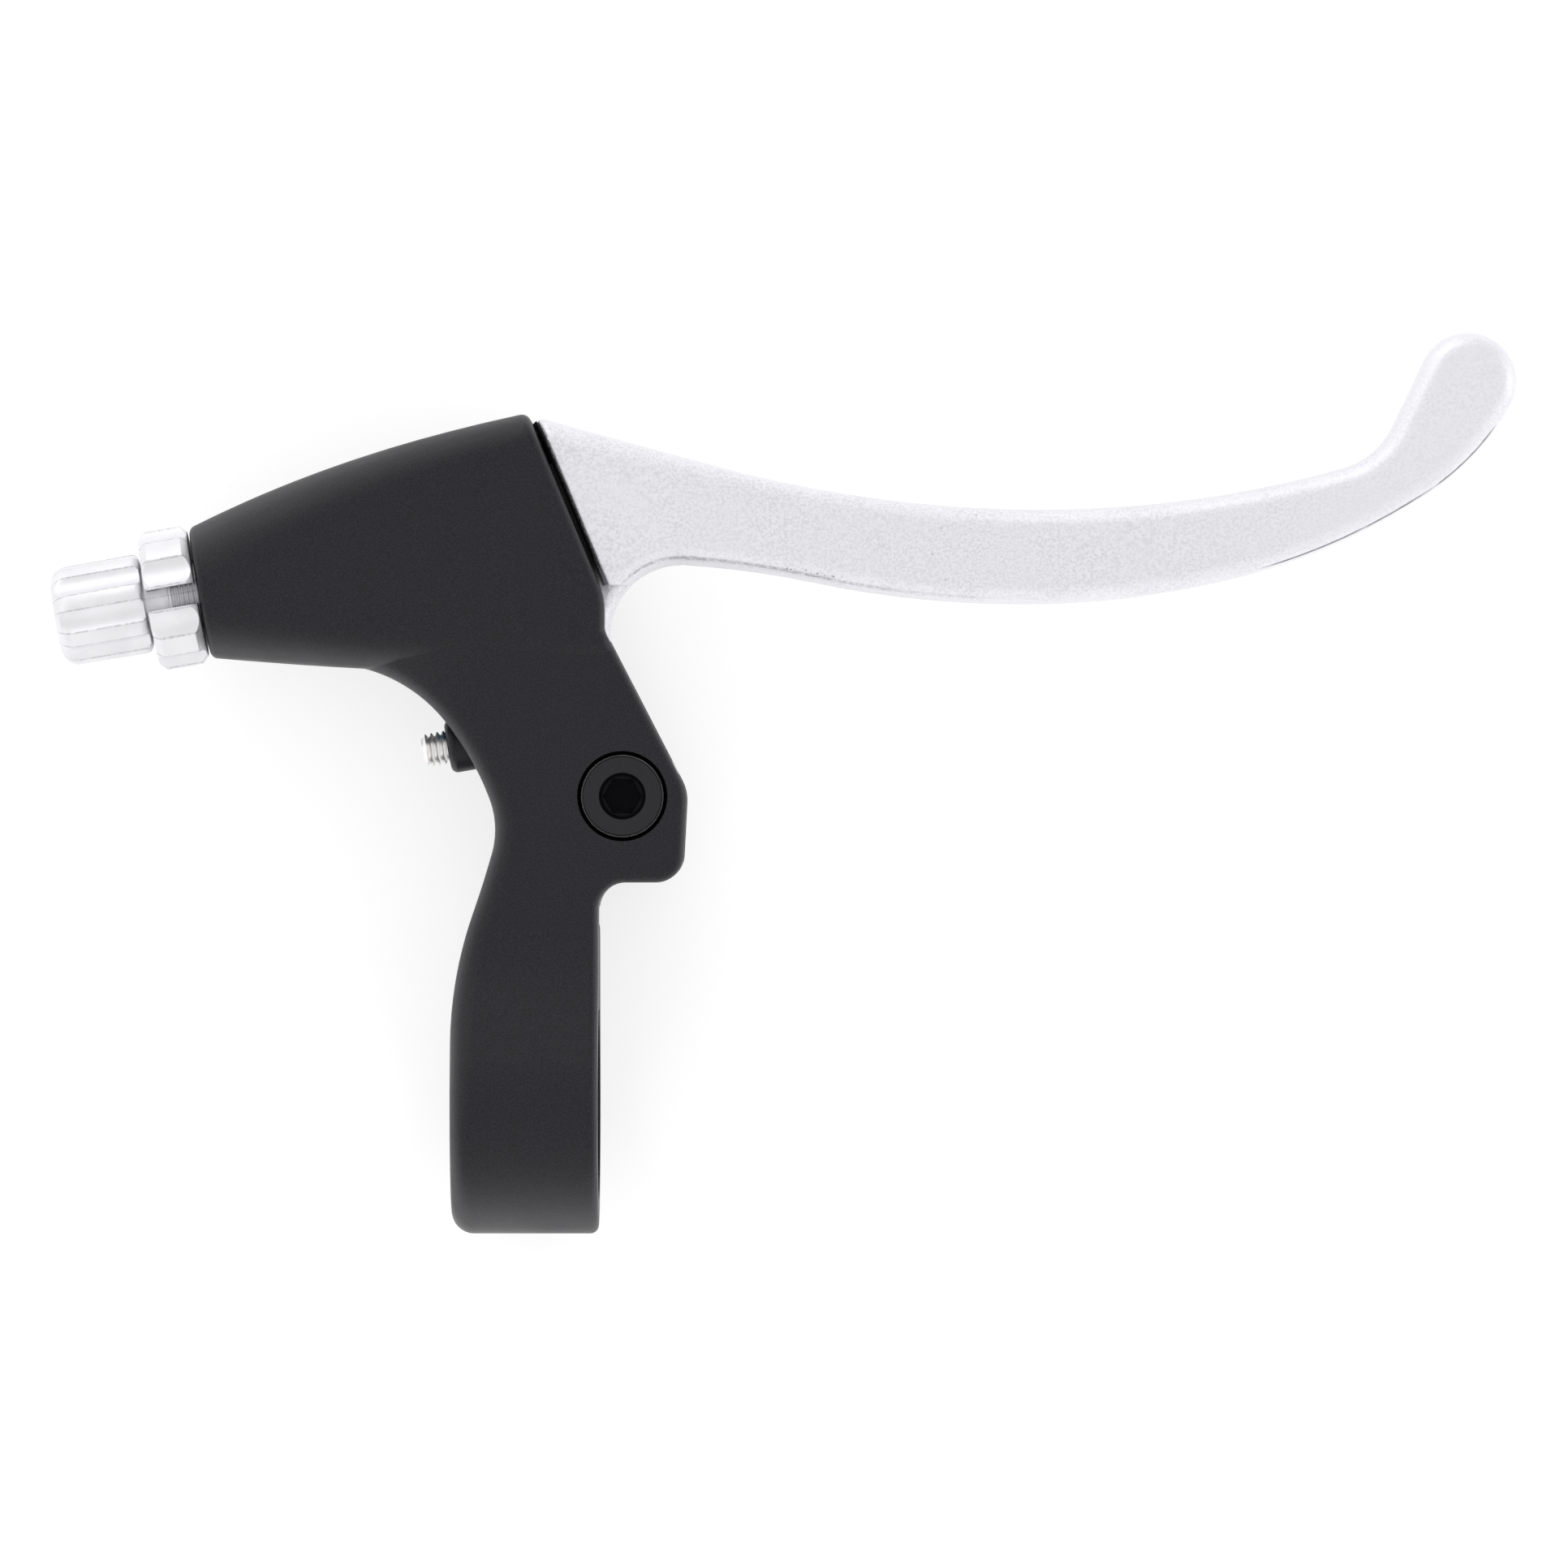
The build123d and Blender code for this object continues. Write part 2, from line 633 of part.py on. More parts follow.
# Flanged bushes, pressed into the eye of the arm from above and from below
for bush_name, side in (("upper_bush", 1), ("lower_bush", -1)):
    with BuildPart() as bush:
        with BuildSketch(Plane.XY.offset(side * arm_half)):
            with Locations(pivot):
                Circle(bush_radius)
        extrude(amount=-side * bush_length)
        with BuildSketch(Plane.XY.offset(side * arm_half)):
            with Locations(pivot):
                Circle(bush_flange_radius)
        extrude(amount=side * bush_flange)
        with BuildSketch():
            with Locations(pivot):
                Circle(pivot_diameter / 2 + running_clearance)
        extrude(amount=arm_thickness, both=True, mode=Mode.SUBTRACT)
    bush.part.label = bush_name
    export_step(bush.part, f"parts/{bush_name}.step")

# Pivot bolt: sunk round head, plain shoulder and a threaded tail, with a hex socket under a round mouth
with BuildPart() as pivot_bolt:
    with BuildSketch(Plane.XY.offset(pivot_seat)):
        with Locations(pivot):
            Circle(pivot_head_diameter / 2)
    extrude(amount=pivot_head_height)
    chamfer(pivot_bolt.faces().sort_by(Axis.Z)[-1].edges(), pivot_head_bevel)
    with BuildSketch(Plane.XY.offset(pivot_seat)):
        with Locations(pivot):
            Circle(pivot_diameter / 2)
    extrude(amount=-pivot_seat - pivot_nut_seat + running_clearance)
    with BuildSketch(Plane.XY.offset(pivot_seat)):
        with Locations(pivot):
            Circle(pivot_thread_diameter / 2 - thread_clearance)
    extrude(amount=-pivot_seat - cheek_half + pivot_head_bevel)
    chamfer(pivot_bolt.faces().sort_by(Axis.Z)[0].edges(), pivot_head_bevel)
    with BuildSketch(Plane.XY.offset(pivot_seat + pivot_head_height)):
        with Locations(pivot):
            Circle(pivot_key_mouth / 2)
    extrude(amount=-pivot_key_mouth_depth, mode=Mode.SUBTRACT)
    with BuildSketch(Plane.XY.offset(pivot_seat + pivot_head_height)):
        with Locations(pivot):
            RegularPolygon(pivot_key / 2, 6, major_radius=False)
    extrude(amount=-pivot_key_depth, mode=Mode.SUBTRACT)
pivot_bolt.part.label = "pivot_bolt"
export_step(pivot_bolt.part, "parts/pivot_bolt.step")

# Low nut on the far end of the pivot bolt
with BuildPart() as pivot_nut:
    with BuildSketch(Plane.XY.offset(-pivot_nut_seat)):
        with Locations(pivot):
            RegularPolygon(pivot_nut_flats / 2, 6, major_radius=False)
            Circle(pivot_thread_diameter / 2, mode=Mode.SUBTRACT)
    extrude(amount=-pivot_nut_height)
pivot_nut.part.label = "pivot_nut"
export_step(pivot_nut.part, "parts/pivot_nut.step")

# Cable adjuster: a turned profile, fluted, drilled for the housing and slotted for the cable
with BuildPart() as barrel_adjuster:
    with BuildSketch(cable_plan):
        with BuildLine():
            dome_foot = (adjuster_end, adjuster_radius - adjuster_dome)
            Line((adjuster_end, housing_bore / 2), dome_foot)
            dome = JernArc(dome_foot, (0, 1), adjuster_dome, -adjuster_dome_turn)
            Polyline(
                dome @ 1,
                (adjuster_shoulder - adjuster_cone, adjuster_radius + adjuster_flare),
                (adjuster_shoulder, adjuster_thread / 2 + adjuster_shoulder_step),
                (adjuster_shoulder, thread_radius),
                (adjuster_tip - thread_lead, thread_radius),
                (adjuster_tip, thread_radius - thread_lead),
                (adjuster_tip, cable_bore / 2),
                (adjuster_end + housing_seat_depth, cable_bore / 2),
                (adjuster_end + housing_seat_depth, housing_bore / 2),
                (adjuster_end, housing_bore / 2),
            )
        make_face()
    revolve(axis=cable_axis)
    flute_centre = adjuster_radius + adjuster_flute_radius - adjuster_flute_depth
    with BuildSketch(Plane(origin=nose + along * adjuster_end, x_dir=(0, 0, 1), z_dir=along)):
        with PolarLocations(flute_centre, adjuster_flutes, adjuster_flute_turn):
            Circle(adjuster_flute_radius)
    extrude(amount=adjuster_head_length, mode=Mode.SUBTRACT)
    with BuildSketch(cable_plan):
        with Locations(((adjuster_end + adjuster_tip) / 2, 0)):
            Rectangle(adjuster_tip - adjuster_end, cable_slot_width)
    extrude(amount=-adjuster_head_diameter, mode=Mode.SUBTRACT)
barrel_adjuster.part.label = "barrel_adjuster"
export_step(barrel_adjuster.part, "parts/barrel_adjuster.step")

# Lock nut: bevelled, fluted and slotted, with the slot upwards
with BuildPart() as lock_nut:
    with BuildSketch(Plane(origin=nose - along * lock_nut_gap, x_dir=(0, 0, 1), z_dir=along)):
        Circle(lock_nut_diameter / 2)
    extrude(amount=-lock_nut_width)
    chamfer(lock_nut.edges(), lock_nut_bevel)
    with BuildSketch(Plane(origin=nose - along * lock_nut_gap, x_dir=(0, 0, 1), z_dir=along)):
        Circle(adjuster_thread / 2)
        nut_flute_centre = lock_nut_diameter / 2 + lock_nut_flute_radius - lock_nut_flute_depth
        with PolarLocations(nut_flute_centre, lock_nut_flutes, lock_nut_flute_turn):
            Circle(lock_nut_flute_radius)
        with Locations((lock_nut_diameter / 2, 0)):
            Rectangle(lock_nut_diameter, lock_nut_slot)
    extrude(amount=-lock_nut_width, mode=Mode.SUBTRACT)
lock_nut.part.label = "lock_nut"
export_step(lock_nut.part, "parts/lock_nut.step")

# Reach screw: a socket set screw that stops the arm
with BuildPart() as reach_screw:
    with BuildSketch(Plane(origin=reach_foot - along * reach_tip, x_dir=across, z_dir=along)):
        Circle(reach_screw_diameter / 2 - thread_clearance)
    extrude(amount=-reach_screw_length)
    chamfer(reach_screw.edges().filter_by(GeomType.CIRCLE), thread_lead)
    reach_screw_end = reach_foot - along * (reach_tip + reach_screw_length)
    with BuildSketch(Plane(origin=reach_screw_end, x_dir=across, z_dir=along)):
        RegularPolygon(reach_screw_key / 2, 6, major_radius=False)
    extrude(amount=reach_screw_key_depth, mode=Mode.SUBTRACT)
reach_screw.part.label = "reach_screw"
export_step(reach_screw.part, "parts/reach_screw.step")

# Clamp bolt: a socket head screw from the far side into the neck
with BuildPart() as clamp_bolt:
    with BuildSketch(Plane.XY.offset(clamp_bolt_seat)):
        with Locations((0, clamp_bolt_y)):
            Circle(clamp_bolt_head_diameter / 2)
    extrude(amount=-clamp_bolt_head_height)
    chamfer(clamp_bolt.faces().sort_by(Axis.Z)[0].edges(), clamp_bolt_bevel)
    with BuildSketch(Plane.XY.offset(clamp_bolt_seat)):
        with Locations((0, clamp_bolt_y)):
            Circle(clamp_bolt_diameter / 2 - thread_clearance)
    extrude(amount=clamp_bolt_length)
    chamfer(clamp_bolt.faces().sort_by(Axis.Z)[-1].edges(), thread_lead)
    with BuildSketch(Plane.XY.offset(clamp_bolt_seat - clamp_bolt_head_height)):
        with Locations((0, clamp_bolt_y)):
            RegularPolygon(clamp_bolt_key / 2, 6, major_radius=False)
    extrude(amount=clamp_bolt_key_depth, mode=Mode.SUBTRACT)
clamp_bolt.part.label = "clamp_bolt"
export_step(clamp_bolt.part, "parts/clamp_bolt.step")
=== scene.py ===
import json
from math import acos, asin, ceil, cos, floor, inf, pi, radians, sin, tan, tau

import bmesh
import bpy
from bpy.props import FloatProperty, FloatVectorProperty, IntProperty, PointerProperty
from bpy.types import Operator, Panel, PropertyGroup
from mathutils import Matrix, Vector


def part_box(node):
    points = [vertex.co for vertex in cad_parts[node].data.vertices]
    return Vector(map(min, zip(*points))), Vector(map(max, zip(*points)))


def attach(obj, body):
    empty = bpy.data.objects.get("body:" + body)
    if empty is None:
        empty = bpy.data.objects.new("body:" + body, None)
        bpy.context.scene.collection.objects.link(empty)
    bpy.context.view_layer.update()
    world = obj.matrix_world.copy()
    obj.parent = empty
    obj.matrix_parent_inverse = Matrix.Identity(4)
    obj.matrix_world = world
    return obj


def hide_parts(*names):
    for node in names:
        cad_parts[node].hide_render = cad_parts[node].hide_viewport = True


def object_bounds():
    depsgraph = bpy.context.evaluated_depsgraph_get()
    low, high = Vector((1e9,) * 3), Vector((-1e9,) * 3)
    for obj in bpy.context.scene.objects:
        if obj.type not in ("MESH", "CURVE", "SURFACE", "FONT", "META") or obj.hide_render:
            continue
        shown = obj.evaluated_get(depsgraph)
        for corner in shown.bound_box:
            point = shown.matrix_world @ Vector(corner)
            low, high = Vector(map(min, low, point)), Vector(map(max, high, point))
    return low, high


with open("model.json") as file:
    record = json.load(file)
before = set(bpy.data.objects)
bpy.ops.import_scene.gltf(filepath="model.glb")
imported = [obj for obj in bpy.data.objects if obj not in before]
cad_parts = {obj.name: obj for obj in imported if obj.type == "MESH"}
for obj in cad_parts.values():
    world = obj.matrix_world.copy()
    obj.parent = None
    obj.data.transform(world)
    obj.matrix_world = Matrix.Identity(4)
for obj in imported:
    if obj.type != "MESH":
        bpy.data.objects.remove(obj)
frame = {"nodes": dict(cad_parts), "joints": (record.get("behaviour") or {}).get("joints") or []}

bl_info = {
    "name": "Brake lever finishes",
    "version": (1, 0, 0),
    "blender": (4, 5, 0),
    "location": "View3D > Sidebar > Brake lever",
    "description": "Gives the packed brake lever its paint, metals and screw threads, and a plain stage",
    "category": "Object",
}

CAD_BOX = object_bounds()
JOINTS = {joint["name"]: joint for joint in frame["joints"]}
NOSE = Vector(JOINTS["lock_nut_turn"]["pos_m"])
PIVOT = Vector(JOINTS["lever_pivot"]["pos_m"])
ALONG = -Vector(JOINTS["lock_nut_turn"]["axis"]).normalized()
UP = Vector((0, 0, 1))
MM = 0.001
SHARP_EDGE = radians(28)

# Screw threads: shares of the pitch on the crest and on both flanks, and the bevel at an end
CREST_SHARE = 0.12
FLANK_SHARE = 0.72
THREAD_LEAD = 0.5 * MM
HALF_TURN = 0.5


def span_along(node, origin, direction):
    """Lowest and highest place of a node along a direction, from an origin, in metres."""
    places = [(vertex.co - origin).dot(direction) for vertex in frame["nodes"][node].data.vertices]
    return min(places), max(places)


def axis_frame(origin, direction):
    """Matrix with X along a direction and Z upwards."""
    across = UP.cross(direction).normalized()
    turned = Matrix((direction, across, direction.cross(across))).transposed()
    return Matrix.Translation(origin) @ turned.to_4x4()


ADJUSTER_SPAN = span_along("barrel_adjuster", NOSE, ALONG)
SCREW_LOW, SCREW_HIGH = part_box("reach_screw")
SCREW_MIDDLE = (SCREW_LOW + SCREW_HIGH) / 2
SCREW_SPAN = span_along("reach_screw", SCREW_MIDDLE, ALONG)
BOLT_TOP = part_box("pivot_bolt")[1][2]


class BracketSettings(PropertyGroup):
    """Paint of the bracket."""

    paint_colour: FloatVectorProperty(
        name="Paint", description="Colour of the paint", subtype="COLOR", default=(0.0012, 0.0013, 0.0042)
    )
    speck_colour: FloatVectorProperty(
        name="Specks", description="Colour of the pale specks in the paint", subtype="COLOR",
        default=(0.0125, 0.0125, 0.0180),
    )
    speck_size: FloatProperty(
        name="Speck size", description="Distance between specks", unit="LENGTH", default=0.00018
    )
    roughness: FloatProperty(
        name="Roughness", description="Roughness of the paint", subtype="FACTOR", min=0, max=1, default=0.40
    )
    edge_coat: FloatProperty(
        name="Edge sheen", description="How much glossier the paint is on rounded edges", subtype="FACTOR",
        min=0, max=1, default=0.3,
    )
    # Painted shade: diameter of the darker paint in the wells around the pivot bolt and its nut
    well_shade_diameter: FloatProperty(
        name="Well", description="Diameter of the wells around the pivot bolt and its nut", unit="LENGTH",
        default=0.0104,
    )


class BladeSettings(PropertyGroup):
    """Bare metal of the blade."""

    metal_colour: FloatVectorProperty(
        name="Metal", description="Colour of the tumbled metal", subtype="COLOR",
        default=(0.875, 0.87, 0.91),
    )
    grain_colour: FloatVectorProperty(
        name="Grain", description="Colour of the darker grain", subtype="COLOR",
        default=(0.73, 0.725, 0.765),
    )
    grain_size: FloatProperty(
        name="Grain size", description="Distance between grains", unit="LENGTH", default=0.00032
    )
    # Painted shade: colour of the root face and arm in the mouth, partly the dark skin of the unpolished
    # face
    mouth_shade_colour: FloatVectorProperty(
        name="Root", description="Colour of the unpolished root face", subtype="COLOR",
        default=(0.006, 0.006, 0.007),
    )
    root_x: FloatProperty(
        name="Root X", description="Middle of the mouth of the bracket", unit="LENGTH", default=0.00581
    )
    root_y: FloatProperty(
        name="Root Y", description="Middle of the mouth of the bracket", unit="LENGTH", default=0.06672
    )
    root_tilt: FloatProperty(
        name="Root tilt", description="Lean of the root face", subtype="ANGLE", default=radians(22.7)
    )
    root_gap: FloatProperty(
        name="Root gap", description="Gap between the bracket and the root face", unit="LENGTH",
        default=0.0003,
    )
    root_thickness: FloatProperty(
        name="Root thickness", description="Thickness of the blade at the root", unit="LENGTH",
        default=0.017,
    )
    root_draft: FloatProperty(
        name="Draft", description="Draft of the blade's walls", subtype="ANGLE", default=radians(3.0)
    )
    # Colour of the dark line and pits along the rear edge, and of the painted shadow along the tip's rear
    # edge
    edge_mark_and_shade_colour: FloatVectorProperty(
        name="Edge marks", description="Colour of the dark marks along the rear edge", subtype="COLOR",
        default=(0.30, 0.29, 0.30),
    )
    roughness: FloatProperty(
        name="Roughness", description="Roughness of the metal", subtype="FACTOR", min=0, max=1, default=0.5
    )


class AdjusterSettings(PropertyGroup):
    """Cable adjuster and lock nut."""

    head_diameter: FloatProperty(
        name="Head", description="Diameter of the fluted head", unit="LENGTH", default=0.0115
    )
    head_length: FloatProperty(
        name="Head length", description="Length of the fluted head", unit="LENGTH", default=0.0106
    )
    dome: FloatProperty(
        name="Dome", description="Radius of the rounded end", unit="LENGTH", default=0.002
    )
    flare: FloatProperty(
        name="Flare", description="How much wider the head gets at the nut", unit="LENGTH", default=0.00015
    )
    cone: FloatProperty(
        name="Cone", description="Length of the bevel at the nut", unit="LENGTH", default=0.0009
    )
    shoulder_step: FloatProperty(
        name="Shoulder", description="Height of the shoulder over the thread", unit="LENGTH", default=0.0006
    )
    flutes: IntProperty(name="Flutes", description="Number of flutes", min=3, default=8)
    flute_depth: FloatProperty(
        name="Flute depth", description="Depth of a flute", unit="LENGTH", default=0.0006
    )
    flute_radius: FloatProperty(
        name="Flute radius", description="Radius of a flute", unit="LENGTH", default=0.0022
    )
    flute_turn: FloatProperty(
        name="Flute turn", description="Turn of the first flute", subtype="ANGLE", default=radians(-8.5)
    )
    nut_turn: FloatProperty(
        name="Nut flute turn", description="Turn of the first flute of the nut", subtype="ANGLE",
        default=radians(22.5),
    )
    nut_flute_half: FloatProperty(
        name="Nut flute half", description="Half the angle that a flute of the nut opens", subtype="ANGLE",
        default=radians(12.0),
    )
    housing_diameter: FloatProperty(
        name="Housing bore", description="Diameter of the bore for the housing", unit="LENGTH",
        default=0.0061,
    )
    housing_depth: FloatProperty(
        name="Housing depth", description="Depth of the bore for the housing", unit="LENGTH", default=0.0075
    )
    cable_diameter: FloatProperty(
        name="Cable bore", description="Diameter of the bore for the cable", unit="LENGTH", default=0.0026
    )
    slot_width: FloatProperty(
        name="Slot", description="Width of the cable slot", unit="LENGTH", default=0.0022
    )
    thread_diameter: FloatProperty(
        name="Thread", description="Outer diameter of the thread", unit="LENGTH", default=0.0079
    )
    thread_pitch: FloatProperty(
        name="Pitch", description="Pitch of the thread", unit="LENGTH", default=0.00055
    )
    thread_depth: FloatProperty(
        name="Thread depth", description="Depth of the thread", unit="LENGTH", default=0.0003
    )
    neck_length: FloatProperty(
        name="Neck", description="Length of the plain neck under the head", unit="LENGTH", default=0.0017
    )
    collar_length: FloatProperty(
        name="Collar", description="Length of the plain collar before the thread", unit="LENGTH",
        default=0.001,
    )
    metal_colour: FloatVectorProperty(
        name="Metal", description="Colour of the bright metal", subtype="COLOR",
        default=(0.875, 0.87, 0.895),
    )
    roughness: FloatProperty(
        name="Roughness", description="Roughness of the metal", subtype="FACTOR", min=0, max=1, default=0.46
    )


class ScrewSettings(PropertyGroup):
    """Reach screw, pivot bolt, clamp bolt and bushes."""

    thread_diameter: FloatProperty(
        name="Thread", description="Outer diameter of the reach screw", unit="LENGTH", default=0.0039
    )
    thread_pitch: FloatProperty(
        name="Pitch", description="Pitch of the reach screw", unit="LENGTH", default=0.0007
    )
    thread_depth: FloatProperty(
        name="Thread depth", description="Depth of the thread", unit="LENGTH", default=0.00042
    )
    socket_width: FloatProperty(
        name="Socket", description="Width of the hex socket across flats", unit="LENGTH", default=0.002
    )
    socket_depth: FloatProperty(
        name="Socket depth", description="Depth of the hex socket", unit="LENGTH", default=0.0025
    )
    steel_colour: FloatVectorProperty(
        name="Steel", description="Colour of the plated steel", subtype="COLOR", default=(0.93, 0.92, 0.915)
    )
    patch_colour: FloatVectorProperty(
        name="Thread lock", description="Colour of the thread-lock patch", subtype="COLOR",
        default=(0.02, 0.13, 0.20),
    )
    black_colour: FloatVectorProperty(
        name="Black steel", description="Colour of the blackened bolts", subtype="COLOR",
        default=(0.031, 0.030, 0.033),
    )
    # Painted shade: colour inside the socket of the pivot bolt
    socket_shade_colour: FloatVectorProperty(
        name="Bolt socket", description="Colour inside the socket of the pivot bolt", subtype="COLOR",
        default=(0.013, 0.013, 0.016),
    )
    bolt_socket: FloatProperty(
        name="Bolt socket width", description="Width of the round mouth of the pivot bolt's socket",
        unit="LENGTH", default=0.00535,
    )
    bolt_flat: FloatProperty(
        name="Bolt flat", description="Diameter of the flat top of the pivot bolt", unit="LENGTH",
        default=0.0089,
    )
    # Painted highlight: colour of the light rings on the bevel of the pivot bolt
    painted_light_colour: FloatVectorProperty(
        name="Worn edge", description="Colour of the bare bevel around the pivot bolt", subtype="COLOR",
        default=(0.55, 0.54, 0.55),
    )
    bush_colour: FloatVectorProperty(
        name="Bushes", description="Colour of the bearing bushes", subtype="COLOR",
        default=(0.62, 0.61, 0.57),
    )


class StageSettings(PropertyGroup):
    """Floor, light and camera."""

    floor_colour: FloatVectorProperty(
        name="Floor", description="Colour of the floor", subtype="COLOR", default=(0.45, 0.45, 0.45)
    )
    floor_glow: FloatProperty(
        name="Floor glow", description="How much the floor shines where it is seen or mirrored", min=0,
        default=0.68,
    )
    view_width: FloatProperty(
        name="View width", description="Width of the view at the part", unit="LENGTH", default=0.18141
    )
    view_x: FloatProperty(name="View X", description="Middle of the view", unit="LENGTH", default=0.029906)
    view_y: FloatProperty(name="View Y", description="Middle of the view", unit="LENGTH", default=0.036995)
    view_height: FloatProperty(
        name="Height", description="Height of the camera over the part", unit="LENGTH", default=1.6
    )
    sky_level: FloatProperty(name="Sky", description="Level of the light from above", min=0, default=0.86)
    side_level: FloatProperty(
        name="Sides", description="Level of the light from the sides", min=0, default=0.95
    )
    lamp_level: FloatProperty(name="Lamps", description="Level of the soft lamps", min=0, default=1.0)


def node_group(name, inputs, outputs):
    """A new shader node group with its entry and exit nodes. An input without a value is a vector."""
    tree = bpy.data.node_groups.new(name, "ShaderNodeTree")
    for label, value in inputs:
        kind = "NodeSocketVector" if value is None else "NodeSocketFloat"
        socket = tree.interface.new_socket(name=label, in_out="INPUT", socket_type=kind)
        if value is not None:
            socket.default_value = value
    for label in outputs:
        tree.interface.new_socket(name=label, in_out="OUTPUT", socket_type="NodeSocketFloat")
    return tree, tree.nodes.new("NodeGroupInput"), tree.nodes.new("NodeGroupOutput")


def feed(tree, value, socket):
    """Joins an output to a socket, or sets the socket to a number."""
    if isinstance(value, (int, float)):
        socket.default_value = value
    else:
        tree.links.new(value, socket)


def set_inputs(tree, node, values):
    """Feeds inputs of a node by name, each with an output or a number."""
    for label, value in values.items():
        feed(tree, value, node.inputs[label])


def coordinate(tree, kind):
    """Place or normal of a surface in the frame's axes, or a direction of the sky; returns its output."""
    return tree.nodes.new("ShaderNodeTexCoord").outputs[kind]


def split_vector(tree, vector):
    """The three parts of a vector; returns their outputs."""
    node = tree.nodes.new("ShaderNodeSeparateXYZ")
    tree.links.new(vector, node.inputs[0])
    return node.outputs


def math_node(tree, operation, first, second=None, clamp=False):
    """A math node fed by outputs or numbers; returns its output."""
    node = tree.nodes.new("ShaderNodeMath")
    node.operation = operation
    node.use_clamp = clamp
    feed(tree, first, node.inputs[0])
    if second is not None:
        feed(tree, second, node.inputs[1])
    return node.outputs[0]


def product(tree, first, *others):
    """The product of masks or numbers; returns its output."""
    for other in others:
        first = math_node(tree, "MULTIPLY", first, other)
    return first


def ramp_node(tree, value, low, high):
    """A smooth step from 0 at low to 1 at high; returns its output."""
    node = tree.nodes.new("ShaderNodeMapRange")
    node.interpolation_type = "SMOOTHSTEP"
    set_inputs(tree, node, {"Value": value, "From Min": low, "From Max": high})
    return node.outputs["Result"]


def band_node(tree, value, limits):
    """A mask that rises between the first two of four limits and falls between the last two."""
    rise = ramp_node(tree, value, limits[0], limits[1])
    fall = ramp_node(tree, value, limits[3], limits[2])
    return product(tree, rise, fall)


def noise_node(tree, place, spacing, detail, roughness=0.5):
    """A noise with a spacing between its waves; returns its output."""
    node = tree.nodes.new("ShaderNodeTexNoise")
    scale = math_node(tree, "DIVIDE", 1.0, spacing)
    set_inputs(tree, node, {"Vector": place, "Scale": scale, "Detail": detail, "Roughness": roughness})
    return node.outputs[0]


def fine_speckle_group():
    """Specks of a grained or sprayed surface: a height, a soft grain and a mask of single specks."""
    inputs = [("Spacing", 0.3 * MM), ("Share", 0.3)]
    tree, entry, leave = node_group("fine_speckle", inputs, ["Height", "Grain", "Specks"])
    speck_edge = (0.42, 0.12)
    grain_edge = (0.40, 0.64)
    place = coordinate(tree, "Object")
    spacing = entry.outputs["Spacing"]
    noise = noise_node(tree, place, spacing, detail=3.0, roughness=0.65)
    cells = tree.nodes.new("ShaderNodeTexVoronoi")
    set_inputs(tree, cells, {"Vector": place, "Scale": math_node(tree, "DIVIDE", 1.0, spacing)})
    keep = math_node(tree, "LESS_THAN", cells.outputs["Color"], entry.outputs["Share"])
    near = ramp_node(tree, cells.outputs["Distance"], *speck_edge)
    grain = ramp_node(tree, noise, *grain_edge)
    set_inputs(tree, leave, {"Height": noise, "Grain": grain, "Specks": product(tree, keep, near)})
    return tree


def soft_cloud_group():
    """Slow changes over a surface, from 0 to 1."""
    inputs = [("Spacing", 8.0 * MM), ("Softness", 0.2)]
    tree, entry, leave = node_group("soft_clouds", inputs, ["Cloud"])
    spacing = entry.outputs["Spacing"]
    noise = noise_node(tree, coordinate(tree, "Object"), spacing, detail=4.0, roughness=0.55)
    middle = 0.5
    low = math_node(tree, "SUBTRACT", middle, entry.outputs["Softness"])
    high = math_node(tree, "ADD", middle, entry.outputs["Softness"])
    tree.links.new(ramp_node(tree, noise, low, high), leave.inputs["Cloud"])
    return tree


def tool_line_group():
    """Fine lines left by a turning tool, stacked along the X axis of a place."""
    inputs = [("Place", None), ("Spacing", 0.12 * MM)]
    tree, entry, leave = node_group("tool_lines", inputs, ["Lines"])
    stretch = tree.nodes.new("ShaderNodeVectorMath")
    stretch.operation = "MULTIPLY"
    stretch.inputs[1].default_value = (1.0, 0.04, 0.04)
    tree.links.new(entry.outputs["Place"], stretch.inputs[0])
    noise = noise_node(tree, stretch.outputs[0], entry.outputs["Spacing"], detail=2.0)
    tree.links.new(noise, leave.inputs["Lines"])
    return tree


GROUP_MAKERS = {
    "fine_speckle": fine_speckle_group,
    "soft_clouds": soft_cloud_group,
    "tool_lines": tool_line_group,
}


def use_group(tree, name, **values):
    """Places a node group in a material with its own values; returns its outputs."""
    node = tree.nodes.new("ShaderNodeGroup")
    node.node_tree = bpy.data.node_groups.get(name) or GROUP_MAKERS[name]()
    set_inputs(tree, node, values)
    return node.outputs


def axis_place(tree, origin):
    """Places on a turned piece: X runs along its axis from the origin, Z upwards."""
    node = tree.nodes.new("ShaderNodeMapping")
    node.vector_type = "TEXTURE"
    node.inputs["Location"].default_value = origin
    node.inputs["Rotation"].default_value = axis_frame(origin, ALONG).to_euler()
    tree.links.new(coordinate(tree, "Object"), node.inputs["Vector"])
    return node.outputs[0]


def pivot_place(tree):
    """Distance from the axis of the pivot, and height; returns both outputs."""
    from_pivot = tree.nodes.new("ShaderNodeVectorMath")
    from_pivot.operation = "SUBTRACT"
    from_pivot.inputs[1].default_value = (PIVOT.x, PIVOT.y, 0)
    tree.links.new(coordinate(tree, "Object"), from_pivot.inputs[0])
    parts = split_vector(tree, from_pivot.outputs[0])
    squares = [product(tree, parts[axis], parts[axis]) for axis in ("X", "Y")]
    return math_node(tree, "SQRT", math_node(tree, "ADD", *squares)), parts["Z"]


def shaded(colour, share):
    """A colour made darker or paler by a share."""
    return [value * share for value in colour]


